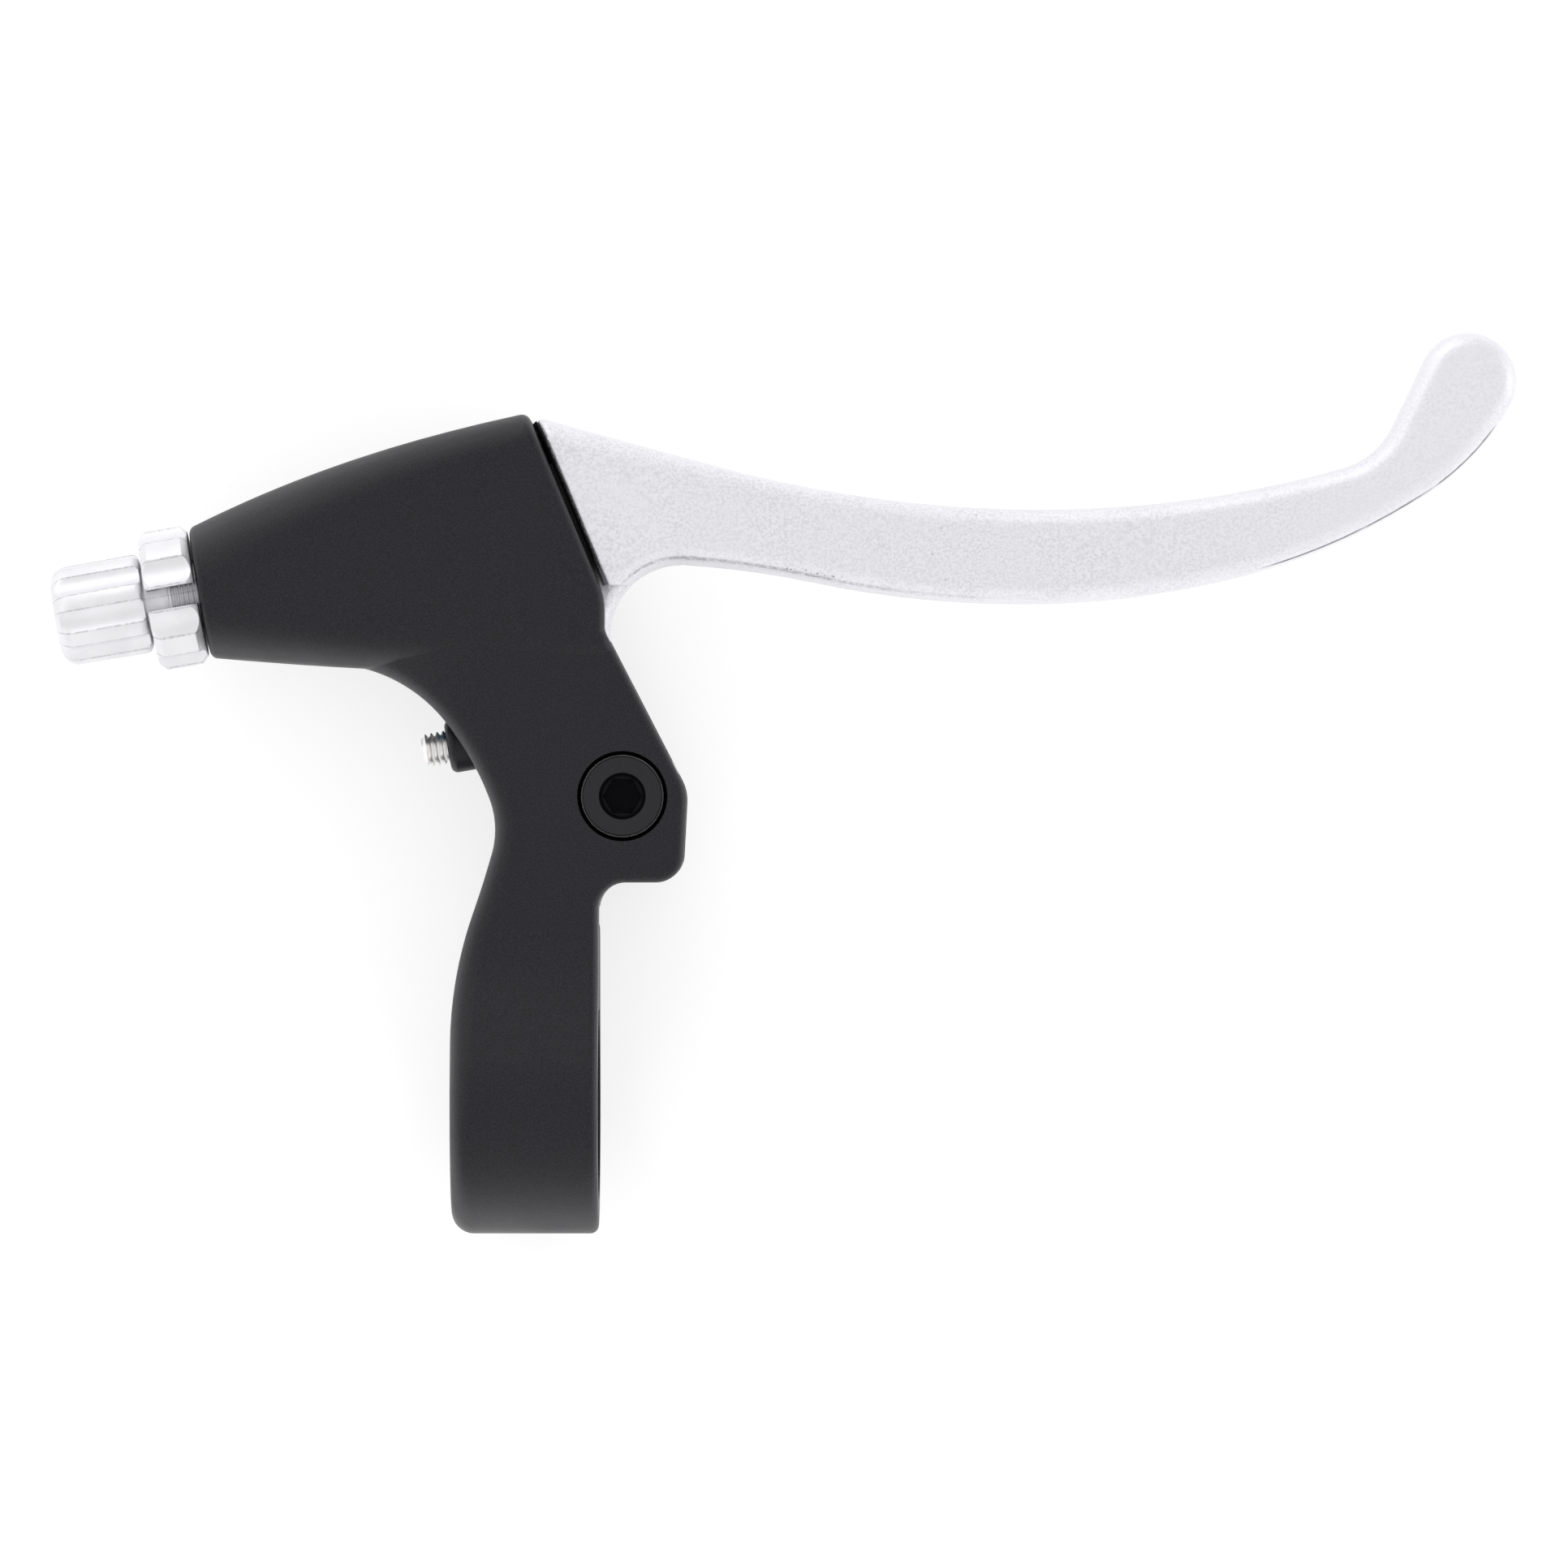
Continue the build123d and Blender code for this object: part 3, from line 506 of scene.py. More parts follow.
def mixed_colour(tree, amount, first, second):
    """A colour between two, each given as an output or as numbers; returns its output."""
    node = tree.nodes.new("ShaderNodeMix")
    node.data_type = "RGBA"
    tree.links.new(amount, node.inputs["Factor"])
    for socket, value in ((node.inputs[6], first), (node.inputs[7], second)):
        if isinstance(value, bpy.types.NodeSocket):
            tree.links.new(value, socket)
        else:
            socket.default_value = (*value, 1.0)
    return node.outputs[2]


def mixed_value(tree, amount, low, high):
    """A value between low and high; returns its output."""
    node = tree.nodes.new("ShaderNodeMapRange")
    set_inputs(tree, node, {"Value": amount, "To Min": low, "To Max": high})
    return node.outputs["Result"]


def bump_into(tree, shader, height, distance, strength):
    """Joins a height to the shader's normal through a bump."""
    bump = tree.nodes.new("ShaderNodeBump")
    set_inputs(tree, bump, {"Height": height, "Distance": distance, "Strength": strength})
    tree.links.new(bump.outputs["Normal"], shader.inputs["Normal"])


def new_material(name):
    """A material with a Principled shader; returns the material, its node tree and the shader."""
    material = bpy.data.materials.new(name)
    material.use_nodes = True
    tree = material.node_tree
    return material, tree, tree.nodes["Principled BSDF"]


def paint_material(settings):
    """Satin black paint with pale specks, glossier on rounded edges; painted shade makes it darker in the
    wells of the pivot, where it is also dull.
    """
    material, tree, shader = new_material("black_paint")
    speckle = use_group(tree, "fine_speckle", Spacing=settings.speck_size, Share=0.35)
    cloud = use_group(tree, "soft_clouds", Spacing=11.0 * MM, Softness=0.22)
    colour = mixed_colour(tree, speckle["Grain"], settings.paint_colour, settings.speck_colour)

    # Painted shade: darker, duller paint in the wells around the pivot bolt and its nut
    radius, height = pivot_place(tree)
    wall = settings.well_shade_diameter / 2
    well_edge = (wall + 0.08 * MM, wall + 0.02 * MM)
    well_top = (BOLT_TOP + 0.3 * MM, BOLT_TOP + 0.1 * MM)
    well_shade = product(tree, ramp_node(tree, radius, *well_edge), ramp_node(tree, height, *well_top))
    colour = mixed_colour(tree, well_shade, colour, shaded(settings.paint_colour, 0.3))
    roughness = mixed_value(tree, cloud["Cloud"], settings.roughness - 0.04, settings.roughness + 0.05)
    roughness = math_node(tree, "MAXIMUM", roughness, well_shade)
    set_inputs(tree, shader, {"Base Color": colour, "Roughness": roughness, "Specular IOR Level": 0.34})

    rounded_lean = (0.30, 0.60, 0.68, 0.94)
    lean = math_node(tree, "ABSOLUTE", split_vector(tree, coordinate(tree, "Normal"))["Z"])
    coat = product(tree, band_node(tree, lean, rounded_lean), settings.edge_coat)
    set_inputs(tree, shader, {"Coat Weight": coat, "Coat Roughness": 0.3})
    bump_into(tree, shader, speckle["Height"], distance=0.035 * MM, strength=0.8)
    return material


def rear_edge_marks_and_shade(tree):
    """Mask of the dark marks where the broad faces of the blade turn into its rear wall: a ragged line near
    the root, pits, and a painted shadow along the tip's edge.
    """
    facing = split_vector(tree, coordinate(tree, "Normal"))
    lean = math_node(tree, "ABSOLUTE", facing["Z"])
    rear_lean = (-0.10, -0.25)
    rear = ramp_node(tree, facing["Y"], *rear_lean)
    along = split_vector(tree, coordinate(tree, "Object"))["X"]
    ragged = use_group(tree, "fine_speckle", Spacing=0.6 * MM, Share=0.4)
    broken = use_group(tree, "soft_clouds", Spacing=12.0 * MM, Softness=0.05)
    small = use_group(tree, "fine_speckle", Spacing=0.4 * MM, Share=0.6)
    line = mixed_value(tree, ragged["Grain"], 0.55, 0.12)
    # Painted shadow: a broken dark band along the rear edge of the tip
    tip_edge_shadow = mixed_value(tree, broken["Cloud"], 1.0, 0.0)
    # Each mark has its band of lean across the edge and its stretch along the blade, in millimetres
    marks = (
        (line, (0.46, 0.52, 0.68, 0.74), (10.0, 13.0, 30.0, 62.0)),
        (tip_edge_shadow, (0.18, 0.26, 0.42, 0.50), (84.0, 88.0, 111.0, 115.0)),
        (small["Specks"], (0.40, 0.50, 0.80, 0.90), (28.5, 30.5, 36.0, 38.0)),
    )
    whole = 0.0
    for mark, leans, stretch in marks:
        across_band = band_node(tree, lean, leans)
        along_band = band_node(tree, along, [place * MM for place in stretch])
        whole = math_node(tree, "MAXIMUM", product(tree, mark, rear, across_band, along_band), whole)
    return whole


def mouth_shade_mask(tree, settings):
    """Mask of painted shade on the root face and the stretch of the arm behind it, partly the dark skin of
    the unpolished face, with a ragged border.
    """
    place = split_vector(tree, coordinate(tree, "Object"))
    from_mouth_x = math_node(tree, "SUBTRACT", place["X"], settings.root_x)
    from_mouth_y = math_node(tree, "SUBTRACT", place["Y"], settings.root_y)
    out_x = product(tree, from_mouth_x, cos(settings.root_tilt))
    out_y = product(tree, from_mouth_y, sin(settings.root_tilt))
    ragged = use_group(tree, "fine_speckle", Spacing=0.5 * MM, Share=0.3)
    shift = mixed_value(tree, ragged["Height"], -0.35 * MM, 0.15 * MM)
    out = math_node(tree, "ADD", math_node(tree, "ADD", out_x, out_y), shift)
    border = settings.root_gap + settings.root_thickness / 2 * tan(settings.root_draft)
    border_edge = (border + 0.02 * MM, border - 0.04 * MM)
    foot = (58.5 * MM, 62.5 * MM)
    return product(tree, ramp_node(tree, out, *border_edge), ramp_node(tree, place["Y"], *foot))


def blade_material(settings):
    """Pale tumbled aluminium with a fine grain, pits and marks, smoother towards the tip, with painted
    shade at the root face and along the tip's rear edge.
    """
    material, tree, shader = new_material("tumbled_aluminium")
    grain = use_group(tree, "fine_speckle", Spacing=settings.grain_size, Share=0.4)
    cloud = use_group(tree, "soft_clouds", Spacing=6.0 * MM, Softness=0.25)
    smooth_stretch = (70.0 * MM, 105.0 * MM)
    smooth = ramp_node(tree, split_vector(tree, coordinate(tree, "Object"))["X"], *smooth_stretch)
    patchy = mixed_value(tree, cloud["Cloud"], 0.55, 1.0)
    shade = product(tree, grain["Grain"], patchy, mixed_value(tree, smooth, 1.0, 0.5))
    colour = mixed_colour(tree, shade, settings.metal_colour, settings.grain_colour)

    pits = use_group(tree, "fine_speckle", Spacing=0.5 * MM, Share=0.08)
    patches = use_group(tree, "soft_clouds", Spacing=12.0 * MM, Softness=0.08)
    pitted = product(tree, pits["Specks"], patches["Cloud"], mixed_value(tree, smooth, 1.0, 0.0))
    colour = mixed_colour(tree, pitted, colour, shaded(settings.metal_colour, 0.68))
    colour = mixed_colour(tree, rear_edge_marks_and_shade(tree), colour, settings.edge_mark_and_shade_colour)
    # Painted shade on the root face and the arm in the mouth, partly the dark skin of the unpolished face
    root = mouth_shade_mask(tree, settings)
    colour = mixed_colour(tree, root, colour, settings.mouth_shade_colour)
    metallic = mixed_value(tree, root, 1.0, 0.0)
    roughness = mixed_value(tree, cloud["Cloud"], settings.roughness - 0.05, settings.roughness + 0.06)
    set_inputs(tree, shader, {"Base Color": colour, "Roughness": roughness, "Metallic": metallic})
    bump_into(tree, shader, grain["Height"], distance=0.04 * MM, strength=0.8)
    return material


def mouth_shade_film_material(settings):
    """A dark sheet of painted shade on the root face, partly the dark skin of the unpolished face, with
    painted light turning it grey at its lower end.
    """
    material, tree, shader = new_material("painted_mouth_shade")
    speckle = use_group(tree, "fine_speckle", Spacing=0.3 * MM, Share=0.3)
    dark = shaded(settings.mouth_shade_colour, 3.0)
    paler = shaded(settings.mouth_shade_colour, 12.0)
    colour = mixed_colour(tree, speckle["Grain"], dark, paler)
    # Painted light: the sheet turns grey towards its lower end, where the arm comes out of the shade
    painted_light_stretch = (64.0 * MM, 59.5 * MM)
    painted_light = ramp_node(tree, split_vector(tree, coordinate(tree, "Object"))["Y"], *painted_light_stretch)
    colour = mixed_colour(tree, painted_light, colour, settings.grain_colour)
    roughness = mixed_value(tree, speckle["Height"], 0.5, 0.75)
    set_inputs(tree, shader, {"Base Color": colour, "Roughness": roughness})
    bump_into(tree, shader, speckle["Height"], distance=0.03 * MM, strength=0.8)
    return material


def flute_edge_shade(tree, place, count, turn, half):
    """Mask of painted shade: greyer lines along the edges of flutes cut around the X axis of a place."""
    parts = split_vector(tree, place)
    around = math_node(tree, "ARCTAN2", parts["Y"], parts["Z"])
    offset = math_node(tree, "PINGPONG", math_node(tree, "SUBTRACT", around, turn), pi / count)
    away = math_node(tree, "ABSOLUTE", math_node(tree, "SUBTRACT", offset, half))
    ragged = use_group(tree, "fine_speckle", Spacing=0.5 * MM, Share=0.4)
    edge_width = (radians(1.3), radians(0.4))
    return product(tree, ramp_node(tree, away, *edge_width), mixed_value(tree, ragged["Grain"], 1.0, 0.2))


def bright_material(name, settings, flute_turn, flute_half):
    """Bright turned aluminium with tool lines, and flute edges made greyer by painted shade."""
    material, tree, shader = new_material(name)
    place = axis_place(tree, NOSE)
    lines = use_group(tree, "tool_lines", Place=place, Spacing=0.16 * MM)
    cloud = use_group(tree, "soft_clouds", Spacing=4.0 * MM, Softness=0.25)
    metal = settings.metal_colour
    colour = mixed_colour(tree, cloud["Cloud"], metal, shaded(metal, 0.92))
    # Painted shade: greyer lines along the edges of the flutes
    edges = flute_edge_shade(tree, place, settings.flutes, flute_turn, flute_half)
    colour = mixed_colour(tree, edges, colour, shaded(metal, 0.66))
    roughness = mixed_value(tree, lines["Lines"], settings.roughness - 0.06, settings.roughness + 0.08)
    set_inputs(tree, shader, {"Base Color": colour, "Roughness": roughness, "Metallic": 1.0})
    bump_into(tree, shader, lines["Lines"], distance=0.01 * MM, strength=0.4)
    return material


def steel_material(settings):
    """Plated steel with a blue thread-lock patch on one side of the thread."""
    material, tree, shader = new_material("plain_steel")
    turned = axis_place(tree, SCREW_MIDDLE)
    lines = use_group(tree, "tool_lines", Place=turned, Spacing=0.12 * MM)
    cloud = use_group(tree, "soft_clouds", Spacing=1.2 * MM, Softness=0.2)
    place = split_vector(tree, turned)
    patch_side = (0.7 * MM, 1.3 * MM)
    patch_start = (-4.6 * MM, -3.4 * MM)
    side = ramp_node(tree, place["Y"], *patch_side)
    inner = ramp_node(tree, place["X"], *patch_start)
    ragged = mixed_value(tree, cloud["Cloud"], 0.35, 1.3)
    patch = math_node(tree, "MULTIPLY", product(tree, side, inner), ragged, clamp=True)
    colour = mixed_colour(tree, patch, settings.steel_colour, settings.patch_colour)
    metallic = mixed_value(tree, patch, 1.0, 0.0)
    roughness = mixed_value(tree, lines["Lines"], 0.24, 0.42)
    set_inputs(tree, shader, {"Base Color": colour, "Roughness": roughness, "Metallic": metallic})
    bump_into(tree, shader, lines["Lines"], distance=0.01 * MM, strength=0.3)
    return material


def black_steel_material(settings):
    """Blackened steel, slightly shiny, with painted shade in the socket and painted highlights on the bevel
    of the pivot bolt.
    """
    material, tree, shader = new_material("black_steel")
    speckle = use_group(tree, "fine_speckle", Spacing=0.2 * MM, Share=0.2)
    cloud = use_group(tree, "soft_clouds", Spacing=3.0 * MM, Softness=0.25)
    black = settings.black_colour
    colour = mixed_colour(tree, speckle["Specks"], black, shaded(black, 1.7))

    radius, height = pivot_place(tree)
    # Painted shade inside the socket of the pivot bolt, lighter towards its middle; the socket is also dull
    rim = settings.bolt_socket / 2
    socket_edge = (rim + 0.06 * MM, rim + 0.01 * MM)
    socket_floor = (2.0 * MM, 3.0 * MM)
    lit_socket_middle_edge = (rim - 0.25 * MM, rim - 0.5 * MM)
    socket = product(tree, ramp_node(tree, radius, *socket_edge), ramp_node(tree, height, *socket_floor))
    colour = mixed_colour(tree, socket, colour, settings.socket_shade_colour)
    lit_socket_middle = product(tree, socket, ramp_node(tree, radius, *lit_socket_middle_edge))
    colour = mixed_colour(tree, lit_socket_middle, colour, shaded(settings.socket_shade_colour, 3.0))

    # Painted highlights: two light rings on the bevel at the edge of the pivot bolt's head
    flat_edge = settings.bolt_flat / 2
    bright_edge = flat_edge + 0.16 * MM
    border = 0.03 * MM
    head_top = (BOLT_TOP - 0.5 * MM, BOLT_TOP - 0.3 * MM)
    top = ramp_node(tree, height, *head_top)
    for start, share in ((flat_edge, 0.25), (bright_edge, 1.5)):
        painted_light = product(tree, top, ramp_node(tree, radius, start - border, start + border))
        colour = mixed_colour(tree, painted_light, colour, shaded(settings.painted_light_colour, share))
    roughness = math_node(tree, "MAXIMUM", mixed_value(tree, cloud["Cloud"], 0.30, 0.44), socket)
    set_inputs(tree, shader, {"Base Color": colour, "Roughness": roughness, "Metallic": 0.85})
    bump_into(tree, shader, speckle["Height"], distance=0.01 * MM, strength=0.6)
    return material


def bush_material(settings):
    """Pale moulded plastic."""
    material, tree, shader = new_material("bush_plastic")
    speckle = use_group(tree, "fine_speckle", Spacing=0.4 * MM, Share=0.3)
    cloud = use_group(tree, "soft_clouds", Spacing=3.0 * MM, Softness=0.25)
    plastic = settings.bush_colour
    colour = mixed_colour(tree, cloud["Cloud"], plastic, shaded(plastic, 0.85))
    roughness = mixed_value(tree, speckle["Height"], 0.42, 0.6)
    set_inputs(tree, shader, {"Base Color": colour, "Roughness": roughness})
    bump_into(tree, shader, speckle["Height"], distance=0.01 * MM, strength=0.5)
    return material


def dress(node, material):
    """Gives a node of the frame its material."""
    slots = frame["nodes"][node].data.materials
    slots.clear()
    slots.append(material)


def new_piece(name, mesh, place, material):
    """A finished piece from a bmesh built in its own axes, set in the frame's axes."""
    data = bpy.data.meshes.new(name)
    bmesh.ops.recalc_face_normals(mesh, faces=mesh.faces)
    mesh.transform(place)
    mesh.to_mesh(data)
    mesh.free()
    data.shade_smooth()
    data.set_sharp_from_angle(angle=SHARP_EDGE)
    data.materials.append(material)
    piece = bpy.data.objects.new(name, data)
    bpy.context.scene.collection.objects.link(piece)
    return piece


def thread_dip(place, turn, pitch, depth):
    """How far the surface of a thread lies below its crest."""
    phase = place / pitch - turn / tau
    from_crest = abs(2 * (phase - floor(phase)) - 1)
    return depth * min(max((from_crest - CREST_SHARE) / FLANK_SHARE, 0.0), 1.0)


def thread_places(start, stop, pitch):
    """Places along a threaded stretch: its two ends, and in between the corners of each turn's profile."""
    crest_edge = (1 - CREST_SHARE) / 2
    root_edge = (1 - CREST_SHARE - FLANK_SHARE) / 2
    rising = (root_edge, (root_edge + crest_edge) / 2, crest_edge)
    corners = (*rising, *(1 - corner for corner in reversed(rising)))
    first = floor(start / pitch - HALF_TURN)
    last = ceil(stop / pitch - HALF_TURN)
    places = [(turn + corner + HALF_TURN) * pitch for turn in range(first, last + 1) for corner in corners]
    return [start, *(place for place in places if start < place < stop), stop]


def on_helix(place, turn, start, stop, pitch):
    """A place moved along the thread's own slope, less so in the first and the last turn."""
    share = min((place - start) / pitch, (stop - place) / pitch, 1.0)
    return place + pitch * (turn / tau - HALF_TURN) * max(share, 0.0)


def add_ring(mesh, points):
    """Vertices around the X axis, each from its place along X, its distance from it and its turn."""
    return [mesh.verts.new((x, -reach * sin(turn), -reach * cos(turn))) for x, reach, turn in points]


def bridge(mesh, loops):
    """Joins closed loops of vertices, one after the other."""
    for first, second in zip(loops, loops[1:]):
        for index, vertex in enumerate(first):
            following = (index + 1) % len(first)
            mesh.faces.new((vertex, first[following], second[following], second[index]))


def close_in_pairs(mesh, loop):
    """Closes a loop that runs out along one line and back along another, one face for each step."""
    for index in range(len(loop) // 2 - 1):
        mesh.faces.new((loop[index], loop[index + 1], loop[-2 - index], loop[-1 - index]))


def flute_shape(settings):
    """Distance of a flute's centre from the axis, and half of the angle that the flute opens."""
    radius = settings.head_diameter / 2
    centre = radius + settings.flute_radius - settings.flute_depth
    opening = radius**2 + centre**2 - settings.flute_radius**2
    return centre, acos(opening / (2 * radius * centre))


def flute_turns(settings, slot_edge):
    """Turns at which the flutes and the lands between them are drawn, clear of the slot."""
    flute_steps = 5
    land_steps = 4
    _, half = flute_shape(settings)
    pitch = tau / settings.flutes
    land = pitch - 2 * half
    turns = []
    for flute in range(settings.flutes):
        middle = pi + settings.flute_turn + flute * pitch
        turns += [middle + half * step / flute_steps for step in range(-flute_steps, flute_steps + 1)]
        turns += [middle + half + land * step / land_steps for step in range(1, land_steps)]
    return sorted(turn % tau for turn in turns if slot_edge < turn % tau < tau - slot_edge)


def flute_reach(settings, turn):
    """Distance from the axis to the surface of a flute, infinite on the lands between flutes."""
    centre, _ = flute_shape(settings)
    pitch = tau / settings.flutes
    offset = (turn - pi - settings.flute_turn + pitch / 2) % pitch - pitch / 2
    inside = settings.flute_radius**2 - (centre * sin(offset)) ** 2
    if inside <= 0:
        return inf
    return centre * cos(offset) - inside**0.5


def head_reach(settings, rise):
    """Radius of the adjuster's head at a distance from its end: dome, slight flare and bevel at the nut."""
    radius = settings.head_diameter / 2
    dome = settings.dome
    bevel_start = settings.head_length - settings.cone
    crest = settings.thread_diameter / 2 + settings.shoulder_step
    if rise < dome:
        return radius - dome + (dome**2 - (dome - rise) ** 2) ** 0.5
    if rise < bevel_start:
        return radius + settings.flare * (rise - dome) / (bevel_start - dome)
    share = (rise - bevel_start) / settings.cone
    return crest + (radius + settings.flare - crest) * max(1 - share**2, 0.0) ** 0.5


def adjuster_mesh(settings):
    """The fluted, drilled, slotted and threaded cable adjuster, along X from the nose of the bracket."""
    end, tip = ADJUSTER_SPAN
    dome = settings.dome
    pitch = settings.thread_pitch
    thread = settings.thread_diameter / 2
    slot_half = settings.slot_width / 2
    slot_edge = radians(24)
    neck_dip = 0.12 * MM
    neck_rise = 0.3 * MM
    step_width = 0.01 * MM
    dome_steps = 8
    bore_steps = 4
    cone_steps = 5
    seat = end + settings.housing_depth
    shoulder = end + settings.head_length
    collar = shoulder + settings.neck_length
    threaded = collar + settings.collar_length

    def outer(place, turn):
        """Distance from the axis to the outer surface."""
        if place <= shoulder:
            return min(head_reach(settings, place - end), flute_reach(settings, turn))
        past_neck = place - collar
        if past_neck <= 0:
            return thread - neck_dip
        start = min(max((past_neck - settings.collar_length) / pitch, 0.0), 1.0)
        dip = thread_dip(place, turn, pitch, settings.thread_depth) * start
        rise = neck_dip * max(1 - past_neck / neck_rise, 0.0)
        return min(thread - max(dip, rise), thread - THREAD_LEAD + (tip - place))

    turns = flute_turns(settings, slot_edge)
    places = [end + dome * (1 - cos(pi / 2 * step / dome_steps)) for step in range(dome_steps + 1)]
    places += [end + dome + (seat - end - dome) * step / bore_steps for step in range(1, bore_steps + 1)]
    places += [seat + step_width]
    cone_shares = [1 - sin(pi / 2 * step / cone_steps) for step in range(cone_steps + 1)]
    places += [shoulder - settings.cone * share for share in cone_shares]
    places += [shoulder + step_width, collar, collar + neck_rise]
    places += thread_places(threaded, tip, pitch)

    mesh = bmesh.new()
    loops = []
    for place in places:
        near = asin(slot_half / outer(place, slot_edge))
        ring = []
        for turn in (near, *turns, tau - near):
            moved = place if place <= threaded else on_helix(place, turn, threaded, tip, pitch)
            reach = outer(moved, turn)
            gap = asin(slot_half / reach)
            ring.append((moved, reach, min(max(turn, gap), tau - gap)))
        bore = settings.housing_diameter / 2 if place <= seat else settings.cable_diameter / 2
        gap = asin(slot_half / bore)
        last = len(ring) - 1
        for index in range(last + 1):
            ring.append((ring[last - index][0], bore, tau - gap - (tau - 2 * gap) * index / last))
        loops.append(add_ring(mesh, ring))
    bridge(mesh, loops)
    close_in_pairs(mesh, loops[0])
    close_in_pairs(mesh, loops[-1])
    return mesh


def reach_screw_mesh(settings):
    """A threaded set screw along X, with a hex socket in its outer end."""
    end, tip = SCREW_SPAN
    thread = settings.thread_diameter / 2
    pitch = settings.thread_pitch
    sides = 72
    turns = [tau * index / sides for index in range(sides)]
    socket_floor = end + settings.socket_depth
    socket_mouth = end + 0.1 * MM
    floor_share = 0.4
    mouth_share = 1.08

    def outer(place, turn):
        """Distance from the axis to the thread, with a bevel at both ends."""
        dip = thread_dip(place, turn, pitch, settings.thread_depth)
        return min(thread - dip, thread - THREAD_LEAD + min(place - end, tip - place))

    def hexagon(turn):
        """Distance from the axis to the wall of the socket."""
        return settings.socket_width / 2 / cos((turn % (pi / 3)) - pi / 6)

    mesh = bmesh.new()
    loops = []
    socket = ((socket_floor, floor_share), (socket_floor, 1.0), (socket_mouth, 1.0), (end, mouth_share))
    for place, share in socket:
        loops.append(add_ring(mesh, [(place, share * hexagon(turn), turn) for turn in turns]))
    for place in thread_places(end, tip, pitch):
        ring = [(on_helix(place, turn, end, tip, pitch), turn) for turn in turns]
        loops.append(add_ring(mesh, [(moved, outer(moved, turn), turn) for moved, turn in ring]))
    bridge(mesh, loops)
    mesh.faces.new(loops[0])
    mesh.faces.new(loops[-1])
    return mesh


def mouth_shade_film_mesh(settings):
    """A thin dark sheet of painted shade on the root face, thickest at its middle line: X out of the mouth,
    Y along the face.
    """
    side_margin = 0.5 * MM
    half = settings.root_thickness / 2 - side_margin
    low = -7.6 * MM
    high = 12.9 * MM
    rounding = 2.5 * MM
    rounding_share = 0.95
    face_gap = 0.01 * MM
    mouth_gap = 0.04 * MM
    edge_thinning = 0.9
    steps = 32
    mesh = bmesh.new()
    loops = []
    for step in range(steps + 1):
        height = -half + 2 * half * step / steps
        face = settings.root_gap + abs(height) * tan(settings.root_draft) - face_gap
        back = face - (settings.root_gap - mouth_gap) * (1 - edge_thinning * abs(height) / half)
        past = max(abs(height) - half + rounding, 0.0)
        top = high - rounding + (rounding**2 - min(past, rounding_share * rounding) ** 2) ** 0.5
        corners = ((back, low), (face, low), (face, top), (back, top))
        loops.append([mesh.verts.new((out, up, height)) for out, up in corners])
    bridge(mesh, loops)
    mesh.faces.new(loops[0])
    mesh.faces.new(loops[-1])
    return mesh


class LEVER_OT_bracket(Operator):
    """Paints the bracket"""

    bl_idname = "brake_lever.bracket"
    bl_label = "Bracket"

    def execute(self, context):
        dress("bracket", paint_material(context.scene.lever_bracket))
        return {"FINISHED"}


class LEVER_OT_blade(Operator):
    """Finishes the blade, its root face with a sheet of painted shade, and its bushes"""

    bl_idname = "brake_lever.blade"
    bl_label = "Blade"

    def execute(self, context):
        settings = context.scene.lever_blade
        dress("lever_blade", blade_material(settings))
        mouth = Matrix.Translation((settings.root_x, settings.root_y, 0))
        place = mouth @ Matrix.Rotation(settings.root_tilt, 4, "Z")
        # A dark sheet of painted shade filling the narrow gap between the bracket and the root face
        film = new_piece("mouth_shade_film", mouth_shade_film_mesh(settings), place, mouth_shade_film_material(settings))
        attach(film, "lever")
        bushes = bush_material(context.scene.lever_screws)
        dress("upper_bush", bushes)
        dress("lower_bush", bushes)
        return {"FINISHED"}


class LEVER_OT_adjuster(Operator):
    """Builds the threaded cable adjuster and finishes its lock nut"""

    bl_idname = "brake_lever.adjuster"
    bl_label = "Cable adjuster"

    def execute(self, context):
        settings = context.scene.lever_adjuster
        _, flute_half = flute_shape(settings)
        bright = bright_material("bright_aluminium", settings, settings.flute_turn, flute_half)
        nut = bright_material("nut_aluminium", settings, settings.nut_turn, settings.nut_flute_half)
        dress("lock_nut", nut)
        piece = new_piece("threaded_adjuster", adjuster_mesh(settings), axis_frame(NOSE, ALONG), bright)
        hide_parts("barrel_adjuster")
        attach(piece, "adjuster")
        return {"FINISHED"}


class LEVER_OT_reach_screw(Operator):
    """Builds the threaded reach screw"""

    bl_idname = "brake_lever.reach_screw"
    bl_label = "Reach screw"

    def execute(self, context):
        settings = context.scene.lever_screws
        steel = steel_material(settings)
        place = axis_frame(SCREW_MIDDLE, ALONG)
        piece = new_piece("threaded_reach_screw", reach_screw_mesh(settings), place, steel)
        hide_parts("reach_screw")
        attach(piece, "reach_screw")
        return {"FINISHED"}


class LEVER_OT_bolts(Operator):
    """Blackens the pivot bolt, its nut and the clamp bolt"""

    bl_idname = "brake_lever.bolts"
    bl_label = "Bolts"

    def execute(self, context):
        black = black_steel_material(context.scene.lever_screws)
        for node in ("pivot_bolt", "pivot_nut", "clamp_bolt"):
            dress(node, black)
        return {"FINISHED"}


